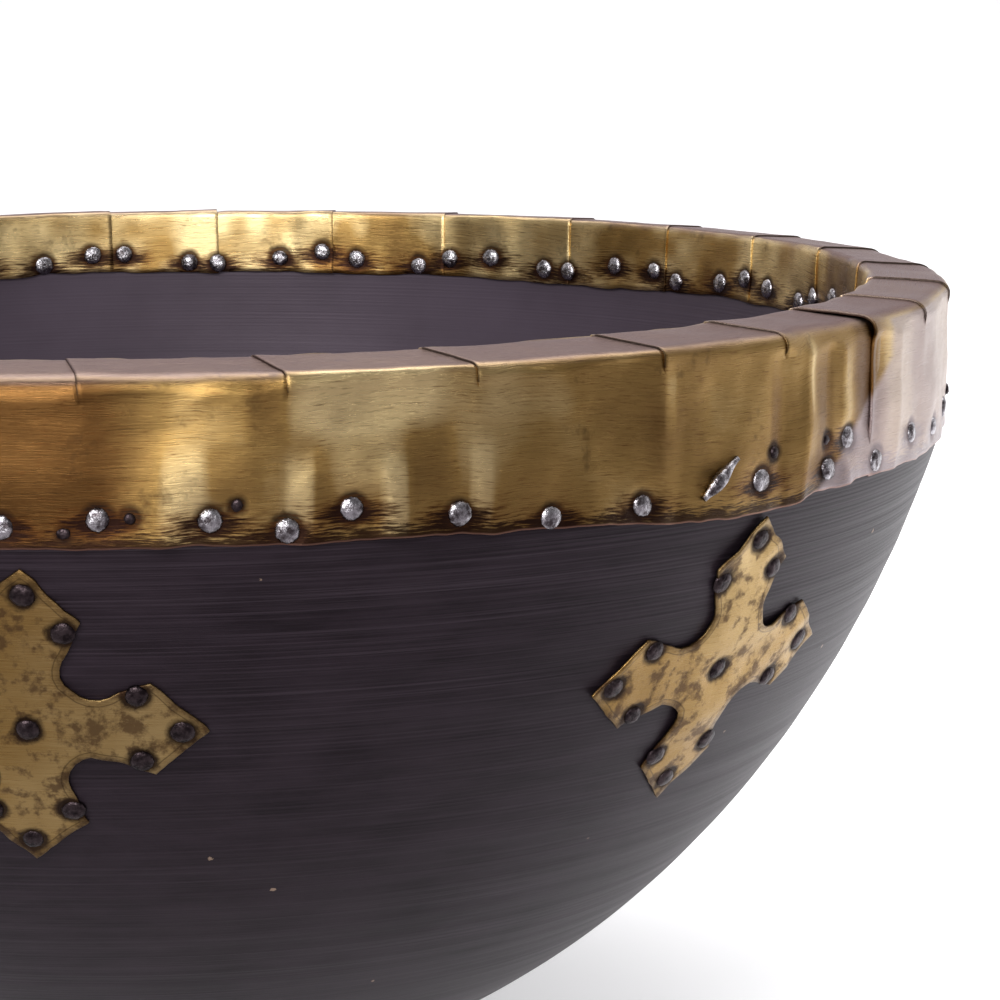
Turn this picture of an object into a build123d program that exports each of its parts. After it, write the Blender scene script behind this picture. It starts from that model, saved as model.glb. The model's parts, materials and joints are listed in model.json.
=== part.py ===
"""Turned wooden bowl with a nailed brass rim band and nailed brass cross plates.

Own frame: +Z up, origin at the centre of the flat foot, millimetres and degrees.
Azimuth 0 is the bowl's front, towards -Y, and it grows towards +X.
"""

from build123d import *
import math
import os

# Wooden body
RIM_RADIUS = 150.0  # outer corner of the brass rim
RIM_HEIGHT = 142.5  # that corner above the foot
OUTER_SEMI_WIDTH = 159.0  # outer profile, an ellipse
OUTER_SEMI_HEIGHT = 194.0
OUTER_CENTRE_Z = 185.0
HOLLOW_RADIUS = 136.0  # inside profile, a circle
FLOOR_THICKNESS = 14.0

# Brass rim band
BRASS_THICKNESS = 0.5
RIM_WIDTH = 15.0  # outer corner to inner edge
RIM_CROWN = 1.2  # inner edge above the outer corner
SKIRT_HEIGHT = 27.6
INNER_SKIRT_DROP = 12.5  # inner lower edge below the outer corner
OUTER_BEND = 1.8
INNER_BEND = 1.2
STRIPS = 3
FIRST_JOINT = -65.0  # azimuth where the first strip starts
JOINT_GAP = 0.15  # degrees
TAB_WIDTHS = (10.3, 12.9, 12.5, 12.5, 12.4, 12.2, 11.8, 13.3, 11.1, 11.0)  # degrees
SLIT_WIDTH = 0.3
SLIT_BELOW_CORNER = 1.3

# Brass cross plates
CROSSES = 7
CROSS_FIRST = -8.85  # azimuth of the first cross
CROSS_WOBBLES = (0.0, 0.45, -0.6, 0.3, 0.8, -0.4, 0.5)  # degrees off even spacing
CROSS_TILTS = (-3.1, 2.0, -1.2, 2.6, 0.8, -2.2, 1.5)  # degrees, anticlockwise
CROSS_DROP = 31.2  # centre below the skirt's edge, along the wall
CROSS_REACH = 28.9  # centre to arm tip
SHOULDER_OUT = 20.0  # shoulder along its arm
BITE_CENTRE = 10.8  # round bite between two arms
BITE_RADIUS = 4.9
BITE_MOUTH = (6.3, 12.8)  # where the bite's arc meets the arm's side
CENTRE_NAIL = (0.2, -0.8)  # across, up
ARM_NAILS = ((0.3, 24.4), (-6.6, 17.4), (6.4, 17.9))  # tip and shoulders of the upper arm

# Nails
HEAD_RADIUS = 1.85
HEAD_HEIGHT = 0.7
SHANK_RADIUS = 0.7
STUB_RADIUS = 1.0
STUB_HEIGHT = 0.5
OUTER_SHANK = 6.5
INNER_SHANK = 5.0
STUB_SHANK = 4.0
CROSS_SHANK = 8.0
SEAT_GAP = 0.03  # keeps a flat head clear of a hollow wall
# Rim nails: degrees from the strip's start, height above the skirt's edge
OUTER_NAILS = (
    (1.0, 2.6), (7.9, 5.1), (14.5, 4.0), (21.0, 5.2), (27.4, 3.4), (33.8, 4.8), (40.0, 3.6),
    (45.2, 5.0), (50.6, 3.2), (55.8, 4.4), (61.5, 5.5), (68.1, 5.1), (72.7, 3.1), (76.6, 6.1),
    (83.4, 4.2), (89.6, 2.3), (96.4, 2.5), (106.8, 3.8), (114.2, 3.3), (116.7, 8.0),
)
STUB_NAILS = ((24.3, 7.4), (59.5, 3.5), (63.4, 5.7), (69.7, 7.4), (108.0, 8.1), (113.9, 8.4))
INNER_NAILS = 27  # in each strip
INNER_NAIL_DROP = 9.2  # below the outer corner
INNER_NAIL_SCATTER = 1.3
BENT_NAIL_POINT = (36.2, 2.3)  # azimuth, height above the skirt's edge
BENT_NAIL_ROOT = (39.2, 8.3)
BENT_NAIL_RADIUS = 0.8

SKIRT_EDGE_Z = RIM_HEIGHT - SKIRT_HEIGHT
INNER_EDGE_Z = RIM_HEIGHT - INNER_SKIRT_DROP
HOLLOW_CENTRE_Z = FLOOR_THICKNESS + HOLLOW_RADIUS
STRIP_WIDTH = 360 / STRIPS
ON_TOP = (Align.CENTER, Align.CENTER, Align.MIN)
HANGING = (Align.CENTER, Align.CENTER, Align.MAX)


def wall_radius(z):
    """Outer radius of the wood below the skirt."""
    return OUTER_SEMI_WIDTH * math.sqrt(1 - ((z - OUTER_CENTRE_Z) / OUTER_SEMI_HEIGHT) ** 2)


def hollow_radius(z):
    """Inside radius of the wood below the brass."""
    return math.sqrt(HOLLOW_RADIUS**2 - (z - HOLLOW_CENTRE_Z) ** 2)


# Corners of the line where the rim's wood and brass meet, as radius and height
SKIRT_FOOT = (wall_radius(SKIRT_EDGE_Z), SKIRT_EDGE_Z)
OUTER_CORNER = (RIM_RADIUS - BRASS_THICKNESS, RIM_HEIGHT - BRASS_THICKNESS)
INNER_CORNER = (
    RIM_RADIUS - RIM_WIDTH + BRASS_THICKNESS,
    RIM_HEIGHT + RIM_CROWN - BRASS_THICKNESS,
)
INNER_FOOT = (hollow_radius(INNER_EDGE_Z), INNER_EDGE_Z)
RIM_CORNERS = (SKIRT_FOOT, OUTER_CORNER, INNER_CORNER, INNER_FOOT)


def upright(point):
    """A (radius, height) pair as a point of the XZ plane."""
    return (point[0], 0, point[1])


def turned(azimuth, thing):
    """Turns a shape or a place over +X to an azimuth."""
    return Rot(0, 0, azimuth - 90) * thing


def offset_corners(points, distance):
    """The corners of a bent line moved outwards by a distance, mitred."""
    moved = []
    for index, (x, z) in enumerate(points):
        normals = []
        for start in (index - 1, index):
            if 0 <= start < len(points) - 1:
                dx = points[start + 1][0] - points[start][0]
                dz = points[start + 1][1] - points[start][1]
                length = math.hypot(dx, dz)
                normals.append((dz / length, -dx / length))
        nx = sum(normal[0] for normal in normals)
        nz = sum(normal[1] for normal in normals)
        scale = len(normals) * distance / (nx * nx + nz * nz)
        moved.append((x + nx * scale, z + nz * scale))
    return moved


def rim_line(cover):
    """The bent line over the rim, on the wood or on a cover of the given thickness."""
    corners = offset_corners(RIM_CORNERS, cover)
    return FilletPolyline(
        *[upright(corner) for corner in corners],
        radius=[OUTER_BEND + cover, INNER_BEND + cover],
    )


def wall_line(cover):
    """The elliptical wall from the foot's level to the skirt's edge, bare or covered."""
    semi_height = OUTER_SEMI_HEIGHT + cover
    start = math.degrees(math.asin(-OUTER_CENTRE_Z / semi_height))
    end = math.degrees(math.asin((SKIRT_EDGE_Z - OUTER_CENTRE_Z) / semi_height))
    arc = EllipticalCenterArc(
        (0, OUTER_CENTRE_Z), OUTER_SEMI_WIDTH + cover, semi_height, start, arc_size=end - start
    )
    return Plane.XZ * arc


def bowl_body():
    """The turned wooden bowl: flat foot, elliptical wall, bevelled rim and round hollow."""
    edge_angle = math.asin((INNER_EDGE_Z - HOLLOW_CENTRE_Z) / HOLLOW_RADIUS)
    middle = (edge_angle - math.pi / 2) / 2
    halfway = (
        HOLLOW_RADIUS * math.cos(middle),
        HOLLOW_CENTRE_Z + HOLLOW_RADIUS * math.sin(middle),
    )
    floor = (0, FLOOR_THICKNESS)
    profile = [
        Line(upright((0, 0)), upright((wall_radius(0), 0))),
        wall_line(0),
        rim_line(0),
        ThreePointArc(upright(INNER_FOOT), upright(halfway), upright(floor)),
        Line(upright(floor), upright((0, 0))),
    ]
    return revolve(make_face(Curve(children=profile).edges()), Axis.Z, 360)


def slits():
    """Cuts between one strip's tabs, over the rim's top and down its inside."""
    over_top = Pos(RIM_RADIUS - RIM_WIDTH / 2, 0, RIM_HEIGHT - SLIT_BELOW_CORNER) * Box(
        RIM_WIDTH + 4, SLIT_WIDTH, 2 * SLIT_BELOW_CORNER + RIM_CROWN, align=ON_TOP
    )
    inside = Pos(INNER_FOOT[0], 0, INNER_EDGE_Z - 1) * Box(
        4 * INNER_BEND, SLIT_WIDTH, INNER_SKIRT_DROP + 1, align=ON_TOP
    )
    cuts = []
    for count in range(1, len(TAB_WIDTHS)):
        angle = sum(TAB_WIDTHS[:count])
        cuts += [Rot(0, 0, angle) * over_top, Rot(0, 0, angle) * inside]
    return cuts


def rim_strip(start):
    """One brass strip folded over the rim, its top slit into tabs."""
    inner = rim_line(0)
    outer = rim_line(BRASS_THICKNESS)
    edges = [
        *inner.edges(), *outer.edges(), Line(inner @ 0, outer @ 0), Line(inner @ 1, outer @ 1)
    ]
    strip = revolve(make_face(edges), Axis.Z, STRIP_WIDTH - JOINT_GAP)
    return turned(start, strip - slits())


def skinned_wall(cover):
    """A solid filled out to the wall, bare or covered."""
    wall = wall_line(cover)
    edges = [
        Line(upright((0, 0)), wall @ 0),
        *wall.edges(),
        Line(wall @ 1, upright((0, SKIRT_EDGE_Z))),
        Line(upright((0, SKIRT_EDGE_Z)), upright((0, 0))),
    ]
    return revolve(make_face(edges), Axis.Z, 360)


def wall_place(azimuth, drop, lift):
    """Place on the wall, a way down from the skirt's edge: x right, y up, z outwards."""
    z = SKIRT_EDGE_Z
    step = 0.02
    travelled = 0.0
    while travelled < drop:
        travelled += math.hypot(step, wall_radius(z) - wall_radius(z - step))
        z -= step
    slope = math.atan2(wall_radius(z + step) - wall_radius(z - step), 2 * step)
    return surface_place(azimuth, wall_radius(z), z, slope, lift)


def surface_place(azimuth, radius, z, slope, lift):
    """Place that faces away from the axis, lifted off a surface of the given slope."""
    normal = (math.cos(slope), 0, -math.sin(slope))
    origin = (radius + lift * normal[0], 0, z + lift * normal[2])
    return turned(azimuth, Plane(origin=origin, x_dir=(0, 1, 0), z_dir=normal).location)


def cross_azimuth(index):
    """Azimuth of a cross plate's centre."""
    return CROSS_FIRST + 360 / CROSSES * index + CROSS_WOBBLES[index]


def cross_outline():
    """A square cross with pointed arms and a round bite in the middle of each side."""
    shoulder = (CROSS_REACH - SHOULDER_OUT, SHOULDER_OUT)
    bite_bottom = BITE_CENTRE - BITE_RADIUS / math.sqrt(2)
    quadrant = [
        Line((0, CROSS_REACH), shoulder),
        Line(shoulder, BITE_MOUTH),
        ThreePointArc(BITE_MOUTH, (bite_bottom, bite_bottom), BITE_MOUTH[::-1]),
        Line(BITE_MOUTH[::-1], shoulder[::-1]),
        Line(shoulder[::-1], (CROSS_REACH, 0)),
    ]
    return make_face([Rot(0, 0, 90 * turn) * side for turn in range(4) for side in quadrant])


def cross_plate(index, shell):
    """One cross plate, cut out of the shell that lies on the wall."""
    place = wall_place(cross_azimuth(index), CROSS_DROP, 0)
    outline = place * Rot(0, 0, CROSS_TILTS[index]) * cross_outline()
    return shell & extrude(outline, CROSS_REACH / 2, both=True)


def cross_seats(index):
    """Where one cross plate's nails sit: its centre, its arm tips and its shoulders."""
    places = [CENTRE_NAIL]
    for turn in range(4):
        angle = math.radians(90 * turn)
        for across, up in ARM_NAILS:
            places.append(rotated(across, up, angle))
    seats = []
    for across, up in places:
        across, up = rotated(across, up, math.radians(CROSS_TILTS[index]))
        drop = CROSS_DROP - up
        seat = wall_place(0, drop, 0).position
        radius = math.hypot(seat.X, seat.Y)
        azimuth = cross_azimuth(index) + math.degrees(across / radius)
        seats.append(wall_place(azimuth, drop, BRASS_THICKNESS))
    return seats


def rotated(across, up, angle):
    """A flat point turned anticlockwise about the origin."""
    return (
        across * math.cos(angle) - up * math.sin(angle),
        across * math.sin(angle) + up * math.cos(angle),
    )


def skirt_seat(azimuth, height, lift):
    """Where a nail sits on the brass skirt, a height above its lower edge."""
    lean = (OUTER_CORNER[0] - SKIRT_FOOT[0]) / (OUTER_CORNER[1] - SKIRT_FOOT[1])
    radius = SKIRT_FOOT[0] + lean * height
    return surface_place(azimuth, radius, SKIRT_EDGE_Z + height, math.atan(lean), lift)


def inner_seat(azimuth, z):
    """Where a nail sits on the brass inside the rim, facing the axis."""
    lean = (INNER_CORNER[0] - INNER_FOOT[0]) / (INNER_CORNER[1] - INNER_FOOT[1])
    radius = INNER_FOOT[0] + lean * (z - INNER_FOOT[1])
    slope = math.atan(lean)
    lift = BRASS_THICKNESS + SEAT_GAP
    normal = (-math.cos(slope), 0, math.sin(slope))
    origin = (radius + lift * normal[0], 0, z + lift * normal[2])
    return turned(azimuth, Plane(origin=origin, x_dir=(0, -1, 0), z_dir=normal).location)


def outer_seats(start):
    """Seats of one strip's large nails."""
    return [skirt_seat(start + turn, up, BRASS_THICKNESS) for turn, up in OUTER_NAILS]


def stub_seats(start):
    """Seats of one strip's small broken nails."""
    return [skirt_seat(start + turn, up, BRASS_THICKNESS) for turn, up in STUB_NAILS]


def inner_seats(start):
    """Seats of one strip's nails inside the rim, spaced and dropped a little unevenly."""
    pitch = STRIP_WIDTH / INNER_NAILS
    seats = []
    for count in range(INNER_NAILS):
        turn = pitch * (count + 0.5 + 0.22 * math.sin(2.3 * count + start))
        z = RIM_HEIGHT - INNER_NAIL_DROP + INNER_NAIL_SCATTER * math.sin(1.7 * count + start)
        seats.append(inner_seat(start + turn, z))
    return seats


def nail(head_radius, head_height, shank_length):
    """A flat-topped round nail standing on the XY plane, its shank below."""
    head = Cylinder(head_radius, head_height, align=ON_TOP)
    head = fillet(head.edges().group_by(Axis.Z)[-1], head_height * 0.7)
    return head + Cylinder(SHANK_RADIUS, shank_length, align=HANGING)


def hole(shank_length):
    """What a nail's shank takes out of the brass and the wood."""
    return Cylinder(SHANK_RADIUS, shank_length, align=HANGING)


def placed(seats, shape):
    """A copy of a shape at each seat."""
    return [seat * shape for seat in seats]


def bent_nail():
    """A long nail that missed, hammered flat against the skirt."""
    lift = BRASS_THICKNESS + BENT_NAIL_RADIUS + SEAT_GAP
    point = skirt_seat(*BENT_NAIL_POINT, lift)
    root = skirt_seat(*BENT_NAIL_ROOT, lift)
    along = root.position - point.position
    lying = Plane(origin=point.position, z_dir=along)
    rod = lying * Cylinder(BENT_NAIL_RADIUS, along.length, align=ON_TOP)
    tip = Pos(*point.position) * Sphere(BENT_NAIL_RADIUS)
    knee = Pos(*root.position) * Sphere(BENT_NAIL_RADIUS)
    leg = root * Cylinder(SHANK_RADIUS, OUTER_SHANK, align=HANGING)
    return rod + tip + knee + leg


def bent_nail_hole():
    """The hole of the bent nail's leg."""
    return skirt_seat(*BENT_NAIL_ROOT, BRASS_THICKNESS + SEAT_GAP) * hole(
        OUTER_SHANK - BENT_NAIL_RADIUS
    )


def write(name, solids):
    """Writes one named node."""
    export_step(Compound(children=solids, label=name), f"parts/{name}.step")


def main():
    os.makedirs("parts", exist_ok=True)
    large_nail = nail(HEAD_RADIUS, HEAD_HEIGHT, OUTER_SHANK)
    inside_nail = nail(HEAD_RADIUS, HEAD_HEIGHT, INNER_SHANK)
    stub_nail = nail(STUB_RADIUS, STUB_HEIGHT, STUB_SHANK)
    cross_nail = nail(HEAD_RADIUS, HEAD_HEIGHT, CROSS_SHANK)
    all_holes = [bent_nail_hole()]
    for number in range(1, STRIPS + 1):
        start = FIRST_JOINT + STRIP_WIDTH * (number - 1)
        holes = (
            placed(outer_seats(start), hole(OUTER_SHANK))
            + placed(stub_seats(start), hole(STUB_SHANK))
            + placed(inner_seats(start), hole(INNER_SHANK))
        )
        if number == 1:
            holes = holes + [bent_nail_hole()]
        all_holes += holes
        write(f"rim_strip_{number}", [rim_strip(start) - holes])
        write(f"rim_outer_nails_{number}", placed(outer_seats(start), large_nail))
        write(f"rim_inner_nails_{number}", placed(inner_seats(start), inside_nail))
        write(f"rim_stub_nails_{number}", placed(stub_seats(start), stub_nail))
    write("bent_nail", [bent_nail()])
    shell = skinned_wall(BRASS_THICKNESS) - skinned_wall(0)
    for index in range(CROSSES):
        holes = placed(cross_seats(index), hole(CROSS_SHANK))
        all_holes += holes
        write(f"cross_plate_{index + 1}", [cross_plate(index, shell) - holes])
        write(f"cross_nails_{index + 1}", placed(cross_seats(index), cross_nail))
    write("bowl_body", [bowl_body() - all_holes])


if __name__ == "__main__":
    main()
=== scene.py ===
"""A turned wooden bowl bound in nailed sheet brass, dressed for rendering round its CAD frame."""

import json
import math

import bmesh
import bpy
import numpy as np
from bpy.props import FloatProperty, FloatVectorProperty, IntProperty, PointerProperty
from mathutils import Matrix, Vector, geometry

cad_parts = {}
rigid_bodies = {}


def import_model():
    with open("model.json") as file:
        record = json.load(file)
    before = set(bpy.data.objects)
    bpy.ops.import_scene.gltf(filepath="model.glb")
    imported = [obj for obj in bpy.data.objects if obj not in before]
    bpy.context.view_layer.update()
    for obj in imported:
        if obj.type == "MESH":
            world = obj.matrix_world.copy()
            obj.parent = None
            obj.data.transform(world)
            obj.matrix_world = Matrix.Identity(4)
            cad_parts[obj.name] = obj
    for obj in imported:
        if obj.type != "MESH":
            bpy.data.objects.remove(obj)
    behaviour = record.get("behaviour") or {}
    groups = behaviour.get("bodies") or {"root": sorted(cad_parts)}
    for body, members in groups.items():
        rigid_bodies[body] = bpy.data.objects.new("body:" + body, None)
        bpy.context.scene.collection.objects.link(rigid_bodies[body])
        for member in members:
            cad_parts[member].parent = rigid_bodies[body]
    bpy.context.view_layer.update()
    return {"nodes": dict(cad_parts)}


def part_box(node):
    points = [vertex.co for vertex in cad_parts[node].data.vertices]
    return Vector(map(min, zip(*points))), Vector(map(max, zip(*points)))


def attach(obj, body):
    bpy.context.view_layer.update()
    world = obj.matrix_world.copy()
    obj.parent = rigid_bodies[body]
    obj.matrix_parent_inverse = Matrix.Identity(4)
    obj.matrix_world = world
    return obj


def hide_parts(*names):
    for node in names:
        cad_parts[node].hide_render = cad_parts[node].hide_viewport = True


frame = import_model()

bl_info = {
    "name": "Brass-bound Bowl",
    "version": (1, 0, 0),
    "blender": (4, 5, 0),
    "location": "View3D > Sidebar > Bowl",
    "description": "Builds a turned wooden bowl with a nailed brass band and cross plates",
    "category": "Object",
}

MM = 0.001
BODY = "root"


def nodes_named(prefix):
    """The CAD nodes whose names start with a prefix, in order."""
    return sorted(name for name in frame["nodes"] if name.startswith(prefix))


def joint_box(names):
    """Lowest and highest corner of several CAD nodes."""
    boxes = [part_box(name) for name in names]
    low = Vector(map(min, *[box[0] for box in boxes]))
    high = Vector(map(max, *[box[1] for box in boxes]))
    return low, high


STRIP_NODES = nodes_named("rim_strip_")
PLATE_NODES = nodes_named("cross_plate_")
RIM_LOW, RIM_HIGH = joint_box(STRIP_NODES)

# The rim's section, in metres
BRASS = 0.5 * MM
RIM_RADIUS = 150.0 * MM
RIM_WIDTH = 15.0 * MM
RIM_CROWN = 1.2 * MM
RIM_CORNER_Z = RIM_HIGH.z - RIM_CROWN
SKIRT_EDGE_Z = RIM_LOW.z
INNER_EDGE_Z = RIM_CORNER_Z - 12.5 * MM
# The wall is an ellipse and the hollow a circle, both round the bowl's axis
WALL_SEMI_WIDTH = 159.0 * MM
WALL_SEMI_HEIGHT = 194.0 * MM
WALL_CENTRE_Z = 185.0 * MM
HOLLOW_RADIUS = 136.0 * MM
FLOOR_THICKNESS = 14.0 * MM
HOLLOW_CENTRE_Z = FLOOR_THICKNESS + HOLLOW_RADIUS

# The band: azimuths in degrees, 0 at the front and growing towards +X
FIRST_JOINT = -65.0
STRIP_SPAN = 360 / len(STRIP_NODES)
TAB_WIDTHS = (10.3, 12.9, 12.5, 12.5, 12.4, 12.2, 11.8, 13.3, 11.1, 11.0)
LAP = 1.2  # degrees that a strip runs on under the next
# How much each tab's fold is softened, and how far its middle is pulled in, 0 to 1
FOLD_SOFTNESS = (0.7, 0.5, 0.9, 0.6, 0.8, 0.75, 0.05, 0.3, 0.45, 0.8)
TAB_FLATNESS = (0.9, 1.0, 0.7, 1.1, 0.6, 0.5, 1.1, 0.8, 1.0, 1.2)
# Sway of the skirt under each tab: millimetres out in its left half, and in in its right half
TAB_SWAYS = (0.2, -0.3, 0.3, 0.1, -0.2, -0.35, 0.1, 0.35, -0.1, 0.2)
# The skirt's hand-cut lower edge: azimuth, and rise in millimetres
EDGE_RISE = (
    (-65, 0.4), (-40, -0.7), (-20, 0.2), (-9, 0.8), (5, 1.0), (19, 0.7), (27, 0.25), (34, -1.1),
    (41, -1.6), (45.5, -1.4), (47.5, -0.2), (54, 0.3), (62, 0.0), (80, 0.7), (110, -0.6),
    (140, 0.8), (170, -0.9), (200, 0.5), (235, -0.4), (265, 0.9), (295, 0.4),
)

# Painted sheen and reflections of the skirt's facets, mixed with tarnish stains: azimuth, height
# above its edge, half width in degrees, half height in millimetres, and how much brighter or
# darker, -1 to 1
SHEEN_AND_STAIN_PATCHES = (
    (-9, 14, 9, 30, -1.0), (1.6, 8, 1.4, 7, 0.5), (4.5, 11, 1.6, 4, -0.35),
    (6.6, 21, 1.3, 5, -0.45), (8.4, 8, 0.9, 6, 0.6), (9.9, 8, 0.6, 7, -0.35),
    (12.5, 23, 4.8, 6, 0.95), (12.0, 14, 2.4, 6, 0.4), (14.3, 6, 0.8, 7, 0.85),
    (16.6, 13, 1.7, 7, -0.55), (19.9, 8, 0.8, 7, 0.65), (23.0, 23, 3.0, 5, 0.4),
    (27.5, 13, 3.5, 8, 0.1), (34.3, 14, 2.6, 7, -0.35), (33.6, 20, 0.5, 5, 0.45),
    (39.5, 20, 3.2, 6, 0.1), (40.5, 8, 4.2, 5, -0.3), (43.2, 15, 0.6, 8, -0.55),
    (46.8, 20, 0.35, 6, 0.8), (48.6, 14, 1.2, 10, -0.45), (51.5, 16, 0.8, 7, 0.4),
    (54.2, 16, 1.8, 14, -0.75), (60.0, 14, 3.0, 20, 0.6), (47.0, 4, 5.0, 3.5, -0.4),
    (75, 15, 6, 20, 0.3), (-22, 12, 5, 12, 0.4), (-33, 18, 4, 10, -0.4), (-48, 10, 6, 10, 0.3),
)
# Folds pressed into the skirt: azimuth at its edge, lean in degrees over the fold's height,
# half width, height and depth in millimetres; one as tall as WHOLE_FOLD runs up to the rim
WHOLE_FOLD = 24
FOLDS = (
    (0.4, 0.5, 4.5, 18, 0.50), (4.6, 0.0, 5.5, 16, -0.30), (8.6, 0.8, 3.0, 15, 0.45),
    (14.3, -0.4, 3.2, 13, 0.55), (16.8, 1.0, 5.0, 22, -0.35), (20.0, 0.2, 2.8, 17, 0.45),
    (27.2, 0.5, 7.0, 16, 0.35), (34.0, 1.0, 4.5, 21, -0.40), (43.5, 0.3, 3.0, 26, -0.60),
    (46.0, 0.6, 3.0, 27, 0.70), (48.8, 0.5, 3.0, 24, -0.60), (51.6, -0.8, 3.0, 26, 0.65),
    (55.0, 1.2, 3.5, 26, -0.65), (59.0, 0.6, 4.0, 24, 0.55),
)

# The cross plates, in degrees and metres
CROSS_FIRST = -8.85
CROSS_WOBBLES = (0.0, 0.45, -0.6, 0.3, 0.8, -0.4, 0.5)
CROSS_TILTS = (-3.1, 2.0, -1.2, 2.6, 0.8, -2.2, 1.5)
CROSS_DROP = 31.2 * MM
CROSS_REACH = 28.9 * MM
SHOULDER_OUT = 20.0 * MM
BITE_CENTRE = 10.8 * MM
BITE_RADIUS = 4.9 * MM
# How far each plate has sprung off the wall between its nails, in metres
CROSS_SPRING = (0.25 * MM, 0.9 * MM, 0.4 * MM, 0.3 * MM, 0.6 * MM, 0.35 * MM, 0.5 * MM)

# The nail hammered flat: azimuth and height above the skirt's edge, in degrees and millimetres
BENT_TIP = (36.2, 2.3)
BENT_ROOT = (39.2, 8.3)
BENT_RADIUS = 1.15 * MM
STUB_HEIGHT = 0.5 * MM

# What differs between the band's sheet and the plates': how brown it is, how fine its blotches
# are, from where they stain it, how dark the stains are, and how much of it has aged
SHEETS = {"rim_sheet": (0.75, 95.0, 0.64, 0.6, 0.7), "cross_sheet": (0.60, 260.0, 0.545, 1.3, 1.0)}

# The floor, in metres: half its side, and where it turns from grey to white behind its front
FLOOR_HALF = 12
FLOOR_GREY_Y, FLOOR_WHITE_Y = -0.22, -0.03
# The camera: its place in metres, its turns in radians and its lens in millimetres
CAMERA_PLACE = (0, -0.750, 0.218)
CAMERA_TURN, CAMERA_DIP, CAMERA_ROLL = 0.08745, 0.15734, 0.00607
CAMERA_LENS = 142.72


# Small tools for numbers


def lattice(column, row, seed):
    """Fixed random numbers from -1 to 1 on a grid of whole numbers."""
    mixed = np.sin(column * 127.1 + row * 311.7 + seed * 74.7) * 43758.5453
    return 2 * (mixed - np.floor(mixed)) - 1


def smooth_noise(x, y, seed):
    """Value noise from -1 to 1 that changes smoothly over one unit of x or y."""
    column, row = np.floor(x), np.floor(y)
    s, t = x - column, y - row
    s, t = s * s * (3 - 2 * s), t * t * (3 - 2 * t)
    low = lattice(column, row, seed) * (1 - s) + lattice(column + 1, row, seed) * s
    high = lattice(column, row + 1, seed) * (1 - s) + lattice(column + 1, row + 1, seed) * s
    return low * (1 - t) + high * t


def ease(value, start, end):
    """0 before start, 1 after end and smooth between them."""
    t = np.clip((value - start) / (end - start), 0, 1)
    return t * t * (3 - 2 * t)


def wall_radius(z):
    """Outer radius of the wood at a height, below the brass."""
    return WALL_SEMI_WIDTH * np.sqrt(1 - ((z - WALL_CENTRE_Z) / WALL_SEMI_HEIGHT) ** 2)


def around(azimuth, radius, z):
    """Points at azimuths in degrees, as an array of rows x, y, z."""
    angle = np.radians(azimuth)
    return np.stack(
        np.broadcast_arrays(radius * np.sin(angle), -radius * np.cos(angle), z), axis=-1
    )


def azimuth_of(points):
    """Azimuth of each point, in degrees."""
    return np.degrees(np.arctan2(points[..., 0], -points[..., 1]))


def turn_between(azimuth, middle):
    """The smaller turn between two azimuths, in degrees."""
    return np.abs((azimuth - middle + 180) % 360 - 180)


def wall_table():
    """Distance down the wall from the skirt's edge, and the height there."""
    z = np.linspace(SKIRT_EDGE_Z, 2 * MM, 2000)
    steps = np.hypot(np.diff(z), np.diff(wall_radius(z)))
    return np.concatenate([[0], np.cumsum(steps)]), z


WALL_DROPS, WALL_HEIGHTS = wall_table()


# Small tools for meshes and nodes


def add_node(tree, kind, inputs=None, **settings):
    """A node with its settings; each input is a value or another node's socket."""
    made = tree.nodes.new(kind)
    for name, value in settings.items():
        setattr(made, name, value)
    for key, value in (inputs or {}).items():
        if isinstance(value, bpy.types.NodeSocket):
            tree.links.new(value, made.inputs[key])
        else:
            made.inputs[key].default_value = value
    return made


def calculate(tree, operation, first, second=0.0, third=0.0):
    """The result of a Math node."""
    inputs = {0: first, 1: second, 2: third}
    return add_node(tree, "ShaderNodeMath", inputs, operation=operation).outputs[0]


def mix_colour(tree, share, first, second, blend="MIX"):
    """The colour of a Mix node."""
    inputs = {0: share, 6: first, 7: second}
    made = add_node(
        tree, "ShaderNodeMix", inputs, data_type="RGBA", blend_type=blend, clamp_factor=True
    )
    return made.outputs[2]


def remap(tree, value, low, high, to_low=0.0, to_high=1.0):
    """A value mapped from one range to another, clamped."""
    inputs = {0: value, 1: low, 2: high, 3: to_low, 4: to_high}
    return add_node(tree, "ShaderNodeMapRange", inputs).outputs[0]


def noise_of(tree, vector, scale, detail=3.0, roughness=0.55, stretch=None, offset=(0, 0, 0)):
    """The value of a Noise Texture on a vector, stretched by a Mapping node if asked."""
    if stretch is not None:
        inputs = {"Vector": vector, "Location": offset, "Scale": stretch}
        vector = add_node(tree, "ShaderNodeMapping", inputs).outputs[0]
    inputs = {"Vector": vector, "Scale": scale, "Detail": detail, "Roughness": roughness}
    return add_node(tree, "ShaderNodeTexNoise", inputs).outputs[0]


def weighted(tree, *terms):
    """The sum of several values, each multiplied by its weight."""
    (value, weight), *others = terms
    total = calculate(tree, "MULTIPLY", value, weight)
    for value, weight in others:
        total = calculate(tree, "MULTIPLY_ADD", value, weight, total)
    return total


def attribute_of(tree, name):
    """The value of a mesh attribute."""
    return add_node(tree, "ShaderNodeAttribute", attribute_name=name).outputs["Fac"]


def stained(tree, colour, value, limits, tint):
    """A colour mixed with a tint; limits are a value's range and the tint's share at its ends."""
    return mix_colour(tree, remap(tree, value, *limits), colour, (*tint, 1))


def add_relief(tree, shader, relief, strength, distance):
    """Bumps on a shader."""
    inputs = {"Height": relief, "Strength": strength, "Distance": distance}
    tree.links.new(add_node(tree, "ShaderNodeBump", inputs).outputs[0], shader.inputs["Normal"])


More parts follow.
